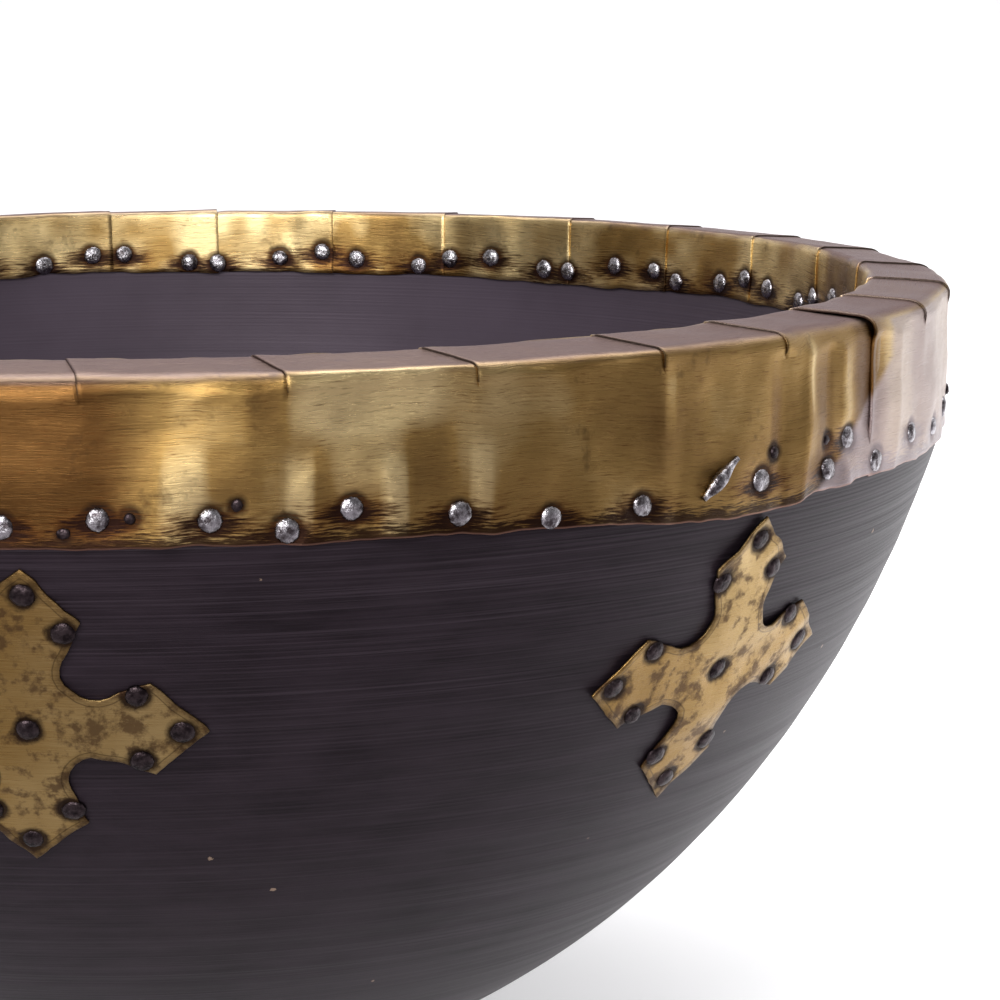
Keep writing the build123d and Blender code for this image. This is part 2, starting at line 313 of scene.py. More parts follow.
def new_geometry_tree(name, **sockets):
    """A geometry tree with these inputs after the geometry, and the sockets that give them."""
    tree = bpy.data.node_groups.new(name, "GeometryNodeTree")
    face = tree.interface
    face.new_socket("Geometry", in_out="INPUT", socket_type="NodeSocketGeometry")
    for label, kind in sockets.items():
        label = label.replace("_", " ").capitalize()
        face.new_socket(label, in_out="INPUT", socket_type="NodeSocket" + kind)
    face.new_socket("Geometry", in_out="OUTPUT", socket_type="NodeSocketGeometry")
    return tree, add_node(tree, "NodeGroupInput").outputs


def end_tree(tree, geometry, material):
    """Gives a geometry its material and hands it out of the tree."""
    inputs = {"Geometry": geometry, "Material": material}
    dressed = add_node(tree, "GeometryNodeSetMaterial", inputs)
    end = add_node(tree, "NodeGroupOutput")
    tree.links.new(dressed.outputs[0], end.inputs[0])
    return tree


def new_material(name):
    """A material with a Principled shader, and its tree and shader."""
    material = bpy.data.materials.new(name)
    material.use_nodes = True
    return material, material.node_tree, material.node_tree.nodes["Principled BSDF"]


def colour_of(rgb):
    """A colour property as a node's four numbers."""
    return (rgb[0], rgb[1], rgb[2], 1.0)


def make_object(name, mesh):
    """An object in the scene for a mesh."""
    made = bpy.data.objects.new(name, mesh)
    bpy.context.scene.collection.objects.link(made)
    return made


def grid_faces(columns, rows, first=0):
    """Quads of a grid of points stored column by column."""
    column, row = np.meshgrid(np.arange(columns - 1), np.arange(rows - 1), indexing="ij")
    corner = (first + column * rows + row).ravel()
    return np.stack([corner, corner + rows, corner + rows + 1, corner + 1], axis=1)


def set_attribute(mesh, name, values):
    """A number for each vertex."""
    mesh.attributes.new(name, "FLOAT", "POINT").data.foreach_set("value", values)


def set_uv(mesh, uv):
    """A UV map from a pair of numbers for each vertex."""
    corners = np.empty(len(mesh.loops), dtype=np.int32)
    mesh.loops.foreach_get("vertex_index", corners)
    layer = mesh.uv_layers.new(name="UVMap")
    layer.data.foreach_set("uv", uv[corners].astype(np.float32).ravel())


def plain_copy(source, name):
    """The evaluated object as a plain mesh object, which takes the source's place."""
    bpy.context.view_layer.update()
    graph = bpy.context.evaluated_depsgraph_get()
    mesh = bpy.data.meshes.new_from_object(
        source.evaluated_get(graph), preserve_all_data_layers=True, depsgraph=graph
    )
    old = source.data
    bpy.data.objects.remove(source)
    bpy.data.meshes.remove(old)
    mesh.name = name
    return make_object(name, mesh)


def finish_piece(piece, slot, *nodes):
    """Hangs a finished piece on the frame in the place of its CAD nodes."""
    for face in piece.data.polygons:
        face.use_smooth = True
    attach(piece, BODY)
    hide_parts(*nodes)
    return piece


# The wooden bowl


def bowl_profile():
    """The bowl's outline from the foot's centre, up the wall and down the hollow, as x and z."""
    under_brass = RIM_CORNER_Z - 3 * MM
    foot = [(r, 0) for r in np.linspace(0, wall_radius(0.0) - 1.2 * MM, 24)]
    bevel_height = 0.9 * MM
    wall_z = np.concatenate([
        np.linspace(bevel_height, SKIRT_EDGE_Z + 1 * MM, 150),
        np.linspace(SKIRT_EDGE_Z + 4 * MM, under_brass, 14),
    ])
    tuck = 1.3 * MM * ease(wall_z, SKIRT_EDGE_Z + 1 * MM, SKIRT_EDGE_Z + 5 * MM)
    waver = 0.06 * MM * smooth_noise(wall_z / (5 * MM), 0 * wall_z, 3)
    plain = np.minimum(wall_radius(wall_z), wall_radius(SKIRT_EDGE_Z) + 0.05 * MM)
    wall = list(zip(plain - tuck + waver, wall_z))
    top = [(r * MM, under_brass) for r in (145, 142, 139, 137)]
    inner_top = INNER_EDGE_Z + 1 * MM
    first_angle = math.acos((HOLLOW_CENTRE_Z - inner_top) / HOLLOW_RADIUS)
    hollow_z = np.concatenate([
        np.linspace(under_brass - 1 * MM, inner_top + 3 * MM, 6),
        HOLLOW_CENTRE_Z - HOLLOW_RADIUS * np.cos(np.linspace(first_angle, 0, 120)),
    ])
    depth = HOLLOW_CENTRE_Z - hollow_z
    hollow_r = np.sqrt(np.maximum(HOLLOW_RADIUS**2 - depth**2, 0))
    hollow_r = hollow_r + 1.4 * MM * ease(hollow_z, inner_top, inner_top + 3 * MM)
    hollow_r[-1] = 0
    return np.array(foot + wall + top + list(zip(hollow_r, hollow_z)))


def turning_tree(material):
    """A node tree that turns an outline about the bowl's axis."""
    tree, given = new_geometry_tree("Turned bowl", segments="Int", rows="Int", out_of_round="Float")
    columns = calculate(tree, "ADD", given["Segments"], 1)
    inputs = {"Vertices X": columns, "Vertices Y": given["Rows"]}
    sheet = add_node(tree, "GeometryNodeMeshGrid", inputs).outputs["Mesh"]
    index = add_node(tree, "GeometryNodeInputIndex").outputs[0]
    ratio = calculate(tree, "DIVIDE", calculate(tree, "ADD", index, 0.5), given["Rows"])
    column = calculate(tree, "FLOOR", ratio)
    row = calculate(tree, "SUBTRACT", index, calculate(tree, "MULTIPLY", column, given["Rows"]))
    position = add_node(tree, "GeometryNodeInputPosition").outputs[0]
    sample = add_node(
        tree, "GeometryNodeSampleIndex",
        {"Geometry": given["Geometry"], "Value": position, "Index": row},
        data_type="FLOAT_VECTOR", domain="POINT",
    )
    share = calculate(tree, "DIVIDE", column, given["Segments"])
    angle = calculate(tree, "MULTIPLY", share, 2 * math.pi)
    wave = calculate(tree, "SINE", calculate(tree, "MULTIPLY", angle, 2.0))
    grow = calculate(tree, "MULTIPLY_ADD", wave, given["Out of round"], 1.0)
    parts = add_node(tree, "ShaderNodeSeparateXYZ", {0: sample.outputs["Value"]})
    wide = calculate(tree, "MULTIPLY", parts.outputs["X"], grow)
    upright = add_node(tree, "ShaderNodeCombineXYZ", {"X": wide, "Z": parts.outputs["Z"]})
    inputs = {"Vector": upright.outputs[0], "Angle": angle}
    spun = add_node(tree, "ShaderNodeVectorRotate", inputs, rotation_type="Z_AXIS")
    inputs = {"Geometry": sheet, "Position": spun.outputs[0]}
    placed = add_node(tree, "GeometryNodeSetPosition", inputs)
    inputs = {"Geometry": placed.outputs[0], "Distance": 0.002 * MM}
    merged = add_node(tree, "GeometryNodeMergeByDistance", inputs)
    real = add_node(tree, "GeometryNodeRealizeInstances", {"Geometry": merged.outputs[0]})
    return end_tree(tree, real.outputs["Geometry"], material)


def run_tree(piece, tree, **values):
    """Adds a node tree to an object with its named inputs set, and returns a plain copy."""
    modifier = piece.modifiers.new(tree.name, "NODES")
    modifier.node_group = tree
    for item in tree.interface.items_tree:
        name = item.name.replace(" ", "_").lower()
        if item.in_out == "INPUT" and name in values:
            modifier[item.identifier] = values[name]
    return plain_copy(piece, piece.name)


# The brass band

SKIRT_ROWS = 48
FOLD_ROWS = 9
TOP_ROWS = 14
INNER_ROWS = 14
TAB_COLUMNS = 36


def bent_corner(before, corner, after, reach):
    """Points round a fold, from the line before it to the line after it."""
    start = before - corner
    end = after - corner
    start = start / np.linalg.norm(start, axis=-1, keepdims=True)
    end = end / np.linalg.norm(end, axis=-1, keepdims=True)
    reach = reach[:, None]
    first, last = corner + start * reach, corner + end * reach
    t = np.linspace(0, 1, FOLD_ROWS)[None, :, None]
    points = (
        (1 - t) ** 2 * first[:, None] + 2 * t * (1 - t) * corner[:, None] + t**2 * last[:, None]
    )
    return first, points, last


def between(first, last, count, skip_ends=True):
    """Points along straight lines, one line for each column."""
    t = np.linspace(0, 1, count + (1 if skip_ends else 0))
    t = t[: count] if skip_ends else t
    return first[:, None] + (last - first)[:, None] * t[None, :, None]


def rim_section(reach, rise, inner_rise):
    """Outside line of the brass for each column, from the skirt's edge to the inner edge."""
    count = len(reach)
    edge_z = SKIRT_EDGE_Z + rise
    foot_radius = wall_radius(np.maximum(edge_z, SKIRT_EDGE_Z)) + BRASS
    foot = np.stack([foot_radius, edge_z], axis=1)
    corner = np.tile([RIM_RADIUS, RIM_CORNER_Z], (count, 1))
    inner_corner = np.tile([RIM_RADIUS - RIM_WIDTH, RIM_CORNER_Z + RIM_CROWN], (count, 1))
    inner_z = INNER_EDGE_Z + inner_rise
    hollow = np.sqrt(HOLLOW_RADIUS**2 - (inner_z - HOLLOW_CENTRE_Z) ** 2)
    inner_foot = np.stack([hollow - BRASS - 0.05 * MM, inner_z], axis=1)
    fold_start, fold, fold_end = bent_corner(foot, corner, inner_corner, reach)
    inner_reach = np.full(count, 1.5 * MM)
    inner_start, inner_fold, inner_end = bent_corner(
        corner, inner_corner, inner_foot, inner_reach
    )
    skirt = between(foot, fold_start, SKIRT_ROWS)
    top = between(fold_end, inner_start, TOP_ROWS)[:, 1:]
    last = between(inner_end, inner_foot, INNER_ROWS - 1, skip_ends=False)[:, 1:]
    return np.concatenate([skirt, fold, top, inner_fold, last], axis=1)


def section_normals(points):
    """Outward normals of the section lines."""
    along = np.gradient(points, axis=1)
    along = along / np.linalg.norm(along, axis=-1, keepdims=True)
    return np.stack([along[..., 1], -along[..., 0]], axis=-1)


def islands_of(mesh):
    """The points of each separate piece of a mesh."""
    shape = bmesh.new()
    shape.from_mesh(mesh)
    bmesh.ops.remove_doubles(shape, verts=shape.verts[:], dist=0.001 * MM)
    shape.verts.index_update()
    islands, seen = [], set()
    for first in shape.verts:
        island, waiting = [], [first]
        while waiting:
            vertex = waiting.pop()
            if vertex.index not in seen:
                seen.add(vertex.index)
                island.append(tuple(vertex.co))
                waiting.extend(link.other_vert(vertex) for link in vertex.link_edges)
        if island:
            islands.append(np.array(island))
    shape.free()
    return islands


def nail_spots(prefix, facing=1):
    """Seats and axes of the CAD's nails of one kind, facing away from the bowl's axis or in."""
    spots = {}
    for name in nodes_named(prefix):
        found = []
        for places in islands_of(frame["nodes"][name].data):
            middle = places.mean(axis=0)
            _, spread, axes = np.linalg.svd(places - middle, full_matrices=False)
            # A nail is round, so its axis is the direction whose spread has no equal
            axis = axes[0] if spread[0] - spread[1] > spread[1] - spread[2] else axes[2]
            if (axis[0] * middle[0] + axis[1] * middle[1]) * facing < 0:
                axis = -axis
            along = (places - middle) @ axis
            across = np.linalg.norm(places - middle - np.outer(along, axis), axis=1)
            wide = across > 0.8 * across.max()
            found.append((middle + axis * along[wide].min(), axis))
        found.sort(key=lambda spot: (round(float(azimuth_of(spot[0])), 3), spot[0][2]))
        spots[name] = found
    return spots


def strip_columns():
    """For each column of one strip: its tab, place across the tab, and azimuth from the start."""
    tab, across, azimuth = [], [], []
    start = 0.0
    for index, width in enumerate(TAB_WIDTHS):
        last = index == len(TAB_WIDTHS) - 1
        u = np.linspace(0, 1, TAB_COLUMNS)
        tab.append(np.full(TAB_COLUMNS, index))
        across.append(u)
        azimuth.append(start + u * (width + (LAP if last else 0)))
        start += width
    return np.concatenate(tab), np.concatenate(across), np.concatenate(azimuth)


def distance_to(points, spots):
    """Distance from each point to the nearest spot."""
    nearest = np.full(points.shape[:-1], 1.0)
    for spot in spots:
        nearest = np.minimum(nearest, np.linalg.norm(points - spot, axis=-1))
    return nearest


def blended(values, tab, across):
    """Each tab's value in its middle, running into its neighbours' at its sides."""
    values = np.asarray(values, dtype=float)
    here = values[tab]
    left = (values[np.maximum(tab - 1, 0)] + here) / 2
    right = (values[np.minimum(tab + 1, len(values) - 1)] + here) / 2
    left = np.where(tab == 0, (values[0] + values[-1]) / 2, left)
    right = np.where(tab == len(values) - 1, (values[0] + values[-1]) / 2, right)
    share = (4 * across * (1 - across)) ** 0.5
    return here * share + np.where(across < 0.5, left, right) * (1 - share)


def folds_of(index):
    """The folds pressed into one strip: those of the front, or random ones elsewhere."""
    start = FIRST_JOINT + STRIP_SPAN * index
    folds = list(FOLDS)
    for step in range(26):
        foot = start + 1.5 + 4.6 * step + 1.2 * lattice(step, index, 5)
        depth = 0.42 * lattice(step, index, 6)
        if not -2 < foot < 62:
            folds.append((foot, lattice(step, index, 7), 3.6 + 1.2 * lattice(step, index, 8),
                          17 + 5 * lattice(step, index, 9), depth))
    return folds


def painted_sheen_and_stain_tone(azimuth, height):
    """How much brighter or darker the skirt is at azimuths and heights, from -1 to 1: painted sheen
    and reflections of its facets, with tarnish stains and random tone.
    """
    tone = 0.35 * smooth_noise(azimuth / 6.0, height / 16, 17)
    for middle, up, half, tall, amount in SHEEN_AND_STAIN_PATCHES:
        away = turn_between(azimuth, middle) / half
        tone = tone + amount * np.exp(-(away**6) - np.abs((height - up) / tall) ** 4)
    return np.clip(tone, -1, 1)


def soot_round(places, spots):
    """How sooty the sheet is beside nails, in streaks along the band, from 0 to 1."""
    soot = np.zeros(places.shape[:-1])
    azimuth = azimuth_of(places)
    for spot in spots:
        along = np.radians(turn_between(azimuth, azimuth_of(np.array(spot)))) * RIM_RADIUS / MM
        drop = (places[..., 2] - spot[2]) / MM
        soot = np.maximum(soot, np.exp(-(along / 6.5) ** 2 - ((drop + 0.8) / 2.2) ** 2))
    return soot


def strip_edges(azimuth, seed):
    """Rise of a strip's two cut edges, under the skirt and inside the rim, in metres."""
    edge_azimuth, edge_rise = np.array(EDGE_RISE).T
    rise = np.interp(azimuth, edge_azimuth, edge_rise, period=360)
    rise = rise + 0.25 * smooth_noise(azimuth / 2.3, 0 * azimuth, seed)
    rise = rise + 0.12 * smooth_noise(azimuth / 0.8, 0 * azimuth, seed + 1)
    inner_rise = 0.5 * smooth_noise(azimuth / 5, 0 * azimuth, seed + 2)
    inner_rise = inner_rise + 0.2 * smooth_noise(azimuth / 1.3, 0 * azimuth, seed + 3)
    return rise * MM, inner_rise * MM


def fold_height(index, turned, above_edge, slit):
    """Height of the folds pressed into one strip, in millimetres."""
    height = 0
    for foot, lean, half, tall, depth in folds_of(index):
        away = turn_between(turned, foot + lean * above_edge / tall)
        away = away * math.radians(1) * RIM_RADIUS / MM
        taper = np.clip(1 - above_edge / tall, 0, 1) ** 0.6 if tall < WHOLE_FOLD else 1 - slit
        height = height + depth * np.exp(-((away / half) ** 1.25) * 1.5) * taper
    return height


def dent_height(turned, path, seed):
    """Height of the hammer's dents, from broad to fine, in millimetres."""
    height = 0
    dents = ((0.26, 4.3, 11), (0.10, 1.7, 4.2), (0.03, 0.7, 1.9))
    for step, (depth, wide, tall) in enumerate(dents):
        height = height + depth * smooth_noise(turned / wide, path / (tall * MM), seed + step)
    return height


def inner_tone_and_painted_highlight(turned, path, seed):
    """How much brighter or darker the sheet is inside the rim, about -1 to 1: random tone, and a
    painted highlight on the back wall.
    """
    tone = 0.2 + 0.9 * smooth_noise(turned / 6, path / (30 * MM), seed)
    tone = tone + 0.5 * smooth_noise(turned / 1.7, path / (5 * MM), seed + 1)
    # A painted highlight on the inside of the back wall, which faces the camera
    return tone + 0.6 * np.exp(-((turn_between(turned, 186) / 16) ** 2))


def rim_strip_mesh(index, outer_spots, stub_spots, inner_spots, sizes):
    """One sheet of the band: a whole skirt, and tabs cut above it that fold over the rim."""
    tab, across, turn = strip_columns()
    azimuth = FIRST_JOINT + STRIP_SPAN * index + turn
    seed = 11 + 7 * index
    rise, inner_rise = strip_edges(azimuth, seed)
    softness = blended(np.roll(FOLD_SOFTNESS, 3 * index % 2), tab, across)
    reach = (0.9 + 3.4 * softness + 0.4 * smooth_noise(azimuth / 2, 0 * azimuth, seed)) * MM
    section = rim_section(np.maximum(reach, 0.6 * MM), rise, inner_rise)
    normal = section_normals(section)
    radius, z = section[..., 0], section[..., 1]
    steps = np.linalg.norm(np.diff(section, axis=1), axis=-1)
    path = np.concatenate([np.zeros((len(tab), 1)), np.cumsum(steps, axis=1)], axis=1)
    fold_row = SKIRT_ROWS + FOLD_ROWS // 2
    corner_path = path[:, fold_row:fold_row + 1]
    # Along the section, in millimetres: down from the rim's corner, up from the edge, and inward
    below = np.maximum((corner_path - path) / MM, 0)
    above_edge = path / MM
    inward = np.maximum((path - corner_path) / MM, 0)
    over = inward - below
    rows = section.shape[1]
    row = np.arange(rows)[None, :]
    on_skirt, inside = row < SKIRT_ROWS + 2, row >= rows - INNER_ROWS - 3
    u, t, turn = across[:, None], tab[:, None], turn[:, None]
    degrees_wide = np.asarray(TAB_WIDTHS)[t]
    width = np.radians(degrees_wide) * RIM_RADIUS / MM

    # A tab keeps its width over the rim, so its left side slides over its neighbour
    slit = ease(over, -3.6, -1.6)
    slide = slit * (1 - u) * width * (1 - radius / RIM_RADIUS) + 0.25 * slit * (1 - u) ** 3
    turned = azimuth[:, None] - np.degrees(slide * MM / radius)
    places = around(turned, radius, z)
    near = distance_to(places, outer_spots) / MM
    near_inner = distance_to(places, inner_spots) / MM

    # A tab's fold is nearly straight, so the round corner is pulled in at its middle
    sagitta = RIM_RADIUS / MM * (1 - np.cos(np.radians(degrees_wide / 2)))
    pull = -np.asarray(TAB_FLATNESS)[t] * 0.8 * sagitta * (4 * u * (1 - u))
    pull = pull * ease(above_edge, 3, 24) * (1 - ease(inward, 0, 11))
    sway = np.roll(TAB_SWAYS, index)[t] * np.sin(2 * math.pi * u) * ease(above_edge, 0, 12)
    lift = (0.24 * (1 - u) ** 4 + 0.06 * (1 - u)) * slit
    strip_ends = np.exp(-turn / 2.6) * 0.12 - 0.45 * ease(turn, 118.0, 120.0)
    bulge = sizes.bulge / MM * (1 - np.exp(-(near / 5.5) ** 2)) * (1 - ease(above_edge, 7, 21))
    bulge = bulge * (0.75 + 0.6 * smooth_noise(turned / 3.1, above_edge / 14, seed + 4))
    folds = fold_height(index, turned, above_edge, slit) * (1 - np.exp(-(near / 3.0) ** 2))
    dimple = -0.22 * np.exp(-(near / 2.6) ** 2)
    height = on_skirt * (sway + bulge + folds + dimple) + lift
    height = height + strip_ends + dent_height(turned, path, seed + 5) * (0.5 + 0.5 * on_skirt)
    loose = 0.6 + smooth_noise(turned / 2.7, path * 0, seed + 8)
    height = height + inside * 0.3 * (1 - np.exp(-(near_inner / 3.5) ** 2)) * loose
    height = np.maximum(height, -0.12 - 0.35 * ease(above_edge, 4, 9)) * MM
    radius = radius + normal[..., 0] * height + pull * MM * ease(below + inward, -1, 0)
    z = z + normal[..., 1] * height
    places = around(turned, radius, z)

    tab_size = TAB_COLUMNS * rows
    faces = [grid_faces(TAB_COLUMNS, rows, n * tab_size) for n in range(len(TAB_WIDTHS))]
    mesh = bpy.data.meshes.new("rim_strip")
    mesh.from_pydata(places.reshape(-1, 3).tolist(), [], np.concatenate(faces).tolist())
    along = np.broadcast_to(np.radians(azimuth)[:, None] * RIM_RADIUS, path.shape)
    set_uv(mesh, np.stack([along.ravel() / MM / 100, path.ravel() / MM / 100], axis=1))
    near_stub = distance_to(places, stub_spots) / MM + 0.85
    from_slit = np.minimum(u, 1 - u) * width
    # Painted sheen and reflections with tarnish stains on the skirt; inside the rim, random tone
    # and a painted highlight
    tone = np.where(over < 0.5, painted_sheen_and_stain_tone(turned, above_edge), 0)
    soot = np.where(on_skirt, soot_round(places, outer_spots), 0)
    # Where the painted reflection of the pale backdrop begins on the skirt's right side, further
    # round higher up
    bloom = 47.5 + np.minimum(above_edge / 2, 10)
    looks = {
        "near_nail": np.minimum(np.minimum(near, near_inner), near_stub),
        "above_edge": above_edge,
        "from_slit": np.where((over > -2.8) & (over < 14), from_slit, 20.0),
        "tone": np.where(inside, inner_tone_and_painted_highlight(turned, path, seed + 9), tone),
        "soot": np.where(inside, soot_round(places, inner_spots), soot),
        # Painted grazing reflection of the pale backdrop on the rim's top face
        "greyed": ease(over, -1.0, 1.5) * (1 - ease(over, 13.5, 15.5)),
        "bloom": ease(turned, bloom, bloom + 1.2) * (1 - ease(turned, 95, 110)) * (over < 0),
    }
    for name, values in looks.items():
        set_attribute(mesh, name, values.ravel())
    shape = bmesh.new()
    shape.from_mesh(mesh)
    bmesh.ops.remove_doubles(shape, verts=shape.verts[:], dist=0.004 * MM)
    shape.to_mesh(mesh)
    shape.free()
    return mesh


# The cross plates


def turned_by(points, degrees):
    """Flat points turned anticlockwise."""
    cosine, sine = math.cos(math.radians(degrees)), math.sin(math.radians(degrees))
    x, y = points[..., 0], points[..., 1]
    return np.stack([x * cosine - y * sine, x * sine + y * cosine], axis=-1)


def cross_outline(seed):
    """A square cross with pointed arms and a round bite in each side, cut by hand."""
    shoulder = (CROSS_REACH - SHOULDER_OUT, SHOULDER_OUT)
    mouth = (6.3 * MM, 12.8 * MM)
    start = math.atan2(mouth[1] - BITE_CENTRE, mouth[0] - BITE_CENTRE)
    stop = math.atan2(mouth[0] - BITE_CENTRE, mouth[1] - BITE_CENTRE) + 2 * math.pi
    bend = np.linspace(start, stop, 9)
    bite = [(BITE_CENTRE + BITE_RADIUS * math.cos(a), BITE_CENTRE + BITE_RADIUS * math.sin(a))
            for a in bend]
    side = [(0, CROSS_REACH), shoulder, *bite, shoulder[::-1]]
    corners = np.concatenate([turned_by(np.array(side), -90 * turn) for turn in range(4)])
    outline = []
    for here, there in zip(corners, np.roll(corners, -1, axis=0)):
        count = max(int(np.linalg.norm(there - here) / (0.9 * MM)), 1)
        outline.extend(here + (there - here) * step / count for step in range(count))
    outline = np.array(outline)
    x, y = outline[:, 0] / (3 * MM), outline[:, 1] / (3 * MM)
    wobble, fine = [
        np.stack([smooth_noise(pace * x, pace * y, seed + axis) for axis in (0, 1)], axis=1)
        for pace in (1, 3)
    ]
    return outline + 0.35 * MM * wobble + 0.08 * MM * fine


def distance_to_line(points, line):
    """Distance from flat points to a closed line."""
    nearest = np.full(len(points), 1.0)
    for here, there in zip(line, np.roll(line, -1, axis=0)):
        along = there - here
        share = np.clip(((points - here) @ along) / (along @ along), 0, 1)
        nearest = np.minimum(
            nearest, np.linalg.norm(points - here - share[:, None] * along, axis=1)
        )
    return nearest


def inside_line(points, line):
    """Whether flat points lie inside a closed line."""
    inside = np.zeros(len(points), dtype=bool)
    for (x0, y0), (x1, y1) in zip(line, np.roll(line, -1, axis=0)):
        crosses = (y0 > points[:, 1]) != (y1 > points[:, 1])
        if y0 != y1:
            reach = x0 + (points[:, 1] - y0) * (x1 - x0) / (y1 - y0)
            inside ^= crosses & (points[:, 0] < reach)
    return inside


def cross_nail_places():
    """Flat places of a cross plate's nails."""
    places = [(0.2, -0.8)]
    for turn in range(4):
        for arm in ((0.3, 24.4), (-6.6, 17.4), (6.4, 17.9)):
            places.append(turned_by(np.array(arm), 90 * turn))
    return np.array(places) * MM


def cross_lift(flat, index, near):
    """Height of a plate's upper face off the wall."""
    seed = 41 + 5 * index
    x, y = flat[:, 0] / MM, flat[:, 1] / MM
    free = 1 - np.exp(-(near / 4.5) ** 2)
    spring = CROSS_SPRING[index] / MM * (0.7 + 0.7 * smooth_noise(x / 9, y / 9, seed))
    dents = 0.10 * smooth_noise(x / 3.5, y / 3.5, seed + 1)
    dimple = -0.10 * np.exp(-(near / 2.4) ** 2)
    height = BRASS / MM + 0.08 + np.maximum(free * (spring + dents), 0) + dimple
    return height * MM


def cross_plate_mesh(index):
    """One cross plate of sheet brass laid on the wall."""
    outline = cross_outline(61 + 3 * index)
    pitch = 1.0 * MM
    column, row = np.meshgrid(np.arange(-30, 31), np.arange(-35, 36))
    points = np.stack([(column + 0.5 * (row % 2)) * pitch, row * pitch * 0.866], axis=-1)
    points = points.reshape(-1, 2).astype(float)
    clear = inside_line(points, outline) & (distance_to_line(points, outline) > 0.55 * pitch)
    points = np.concatenate([outline, points[clear]])
    edges = [(i, (i + 1) % len(outline)) for i in range(len(outline))]
    made = geometry.delaunay_2d_cdt(
        [Vector(point * 1000) for point in points], edges, [list(range(len(outline)))], 1, 1e-4
    )
    flat = np.array([tuple(vertex) for vertex in made[0]]) / 1000
    near = distance_to(flat, cross_nail_places()) / MM
    from_edge = distance_to_line(flat, outline) / MM
    lift = cross_lift(flat, index, near)
    turned = turned_by(flat, CROSS_TILTS[index])
    z = np.interp(CROSS_DROP - turned[:, 1], WALL_DROPS, WALL_HEIGHTS)
    radius = wall_radius(z)
    centre = CROSS_FIRST + 360 / len(PLATE_NODES) * index + CROSS_WOBBLES[index]
    azimuth = centre + np.degrees(turned[:, 0] / radius)
    slope = np.arctan(WALL_SEMI_WIDTH**2 / WALL_SEMI_HEIGHT**2 * (WALL_CENTRE_Z - z) / radius)
    places = around(azimuth, radius + lift * np.cos(slope), z - lift * np.sin(slope))
    mesh = bpy.data.meshes.new("cross_plate")
    mesh.from_pydata(places.tolist(), [], [list(face) for face in made[2]])
    set_uv(mesh, flat / MM / 100)
    set_attribute(mesh, "near_nail", near)
    set_attribute(mesh, "from_edge", from_edge)
    set_attribute(mesh, "pattern", np.full(len(flat), 0.37 * index))
    return mesh


def give_thickness(piece):
    """Gives a sheet its thickness inwards, and breaks its cut edges."""
    wall = piece.modifiers.new("Sheet thickness", "SOLIDIFY")
    wall.thickness = BRASS
    wall.offset = -1
    wall.use_even_offset = False
    edge = piece.modifiers.new("Broken edge", "BEVEL")
    edge.width = 0.09 * MM
    edge.segments = 1
    edge.limit_method = "ANGLE"
    edge.angle_limit = math.radians(55)


# Nails


def ring_faces(rings, count):
    """Quads between rings of points, each ring joined to the next."""
    faces = []
    for low in range(0, (rings - 1) * count, count):
        for step in range(count):
            after = (step + 1) % count
            faces.append((low + step, low + after, low + count + after, low + count + step))
    return faces


def nail_head(radius, height):
    """A low dome on a short collar that reaches below z = 0."""
    rings = ((1.0, -0.44 * MM), (1.0, 0.12 * height), (0.86, 0.62 * height), (0.5, 0.94 * height))
    count = 12
    points = []
    for share, level in rings:
        for step in range(count):
            angle = 2 * math.pi * step / count
            across, deep = share * radius * math.cos(angle), share * radius * math.sin(angle)
            points.append((across, deep, level))
    points.append((0, 0, height))
    last = (len(rings) - 1) * count
    faces = ring_faces(len(rings), count)
    faces += [(last + step, last + (step + 1) % count, len(points) - 1) for step in range(count)]
    faces.append(tuple(reversed(range(count))))
    mesh = bpy.data.meshes.new("nail_head")
    mesh.from_pydata(points, [], faces)
    return mesh


def nailing_tree(head, material):
    """A node tree that sets a hammered head on each point, facing along its axis."""
    tree, given = new_geometry_tree("Hammered nails", seed="Int", hammering="Float")
    axis = add_node(
        tree, "GeometryNodeInputNamedAttribute", {"Name": "axis"}, data_type="FLOAT_VECTOR"
    )
    upright = add_node(
        tree, "FunctionNodeAlignRotationToVector", {"Vector": axis.outputs[0]}, axis="Z"
    )
    spin = add_node(
        tree, "FunctionNodeRandomValue", {"Min": 0.0, "Max": 6.28, "Seed": given["Seed"]},
        data_type="FLOAT",
    )
    about = add_node(
        tree, "FunctionNodeAxisAngleToRotation", {"Axis": (0, 0, 1), "Angle": spin.outputs[1]}
    )
    placed = add_node(
        tree, "FunctionNodeRotateRotation",
        {"Rotation": upright.outputs[0], "Rotate By": about.outputs[0]}, rotation_space="LOCAL",
    )
    inputs = {"Min": (0.9, 0.88, 0.75), "Max": (1.1, 1.06, 1.15), "Seed": given["Seed"]}
    width = add_node(tree, "FunctionNodeRandomValue", inputs, data_type="FLOAT_VECTOR")
    shape = add_node(tree, "GeometryNodeObjectInfo", {"Object": head}, transform_space="ORIGINAL")
    inputs = {
        "Points": given["Geometry"], "Instance": shape.outputs["Geometry"],
        "Rotation": placed.outputs[0], "Scale": width.outputs[0],
    }
    heads = add_node(tree, "GeometryNodeInstanceOnPoints", inputs)
    real = add_node(tree, "GeometryNodeRealizeInstances", {"Geometry": heads.outputs[0]})
    where = add_node(tree, "GeometryNodeInputPosition").outputs[0]
    inputs = {"Vector": where, "Scale": 900.0, "Detail": 1.0}
    bumps = add_node(tree, "ShaderNodeTexNoise", inputs)
    inputs = {0: bumps.outputs["Color"], 1: (0.5, 0.5, 0.5)}
    centred = add_node(tree, "ShaderNodeVectorMath", inputs, operation="SUBTRACT")
    inputs = {0: centred.outputs[0], "Scale": given["Hammering"]}
    moved = add_node(tree, "ShaderNodeVectorMath", inputs, operation="SCALE")
    inputs = {"Geometry": real.outputs["Geometry"], "Offset": moved.outputs[0]}
    hammered = add_node(tree, "GeometryNodeSetPosition", inputs)
    return end_tree(tree, hammered.outputs[0], material)


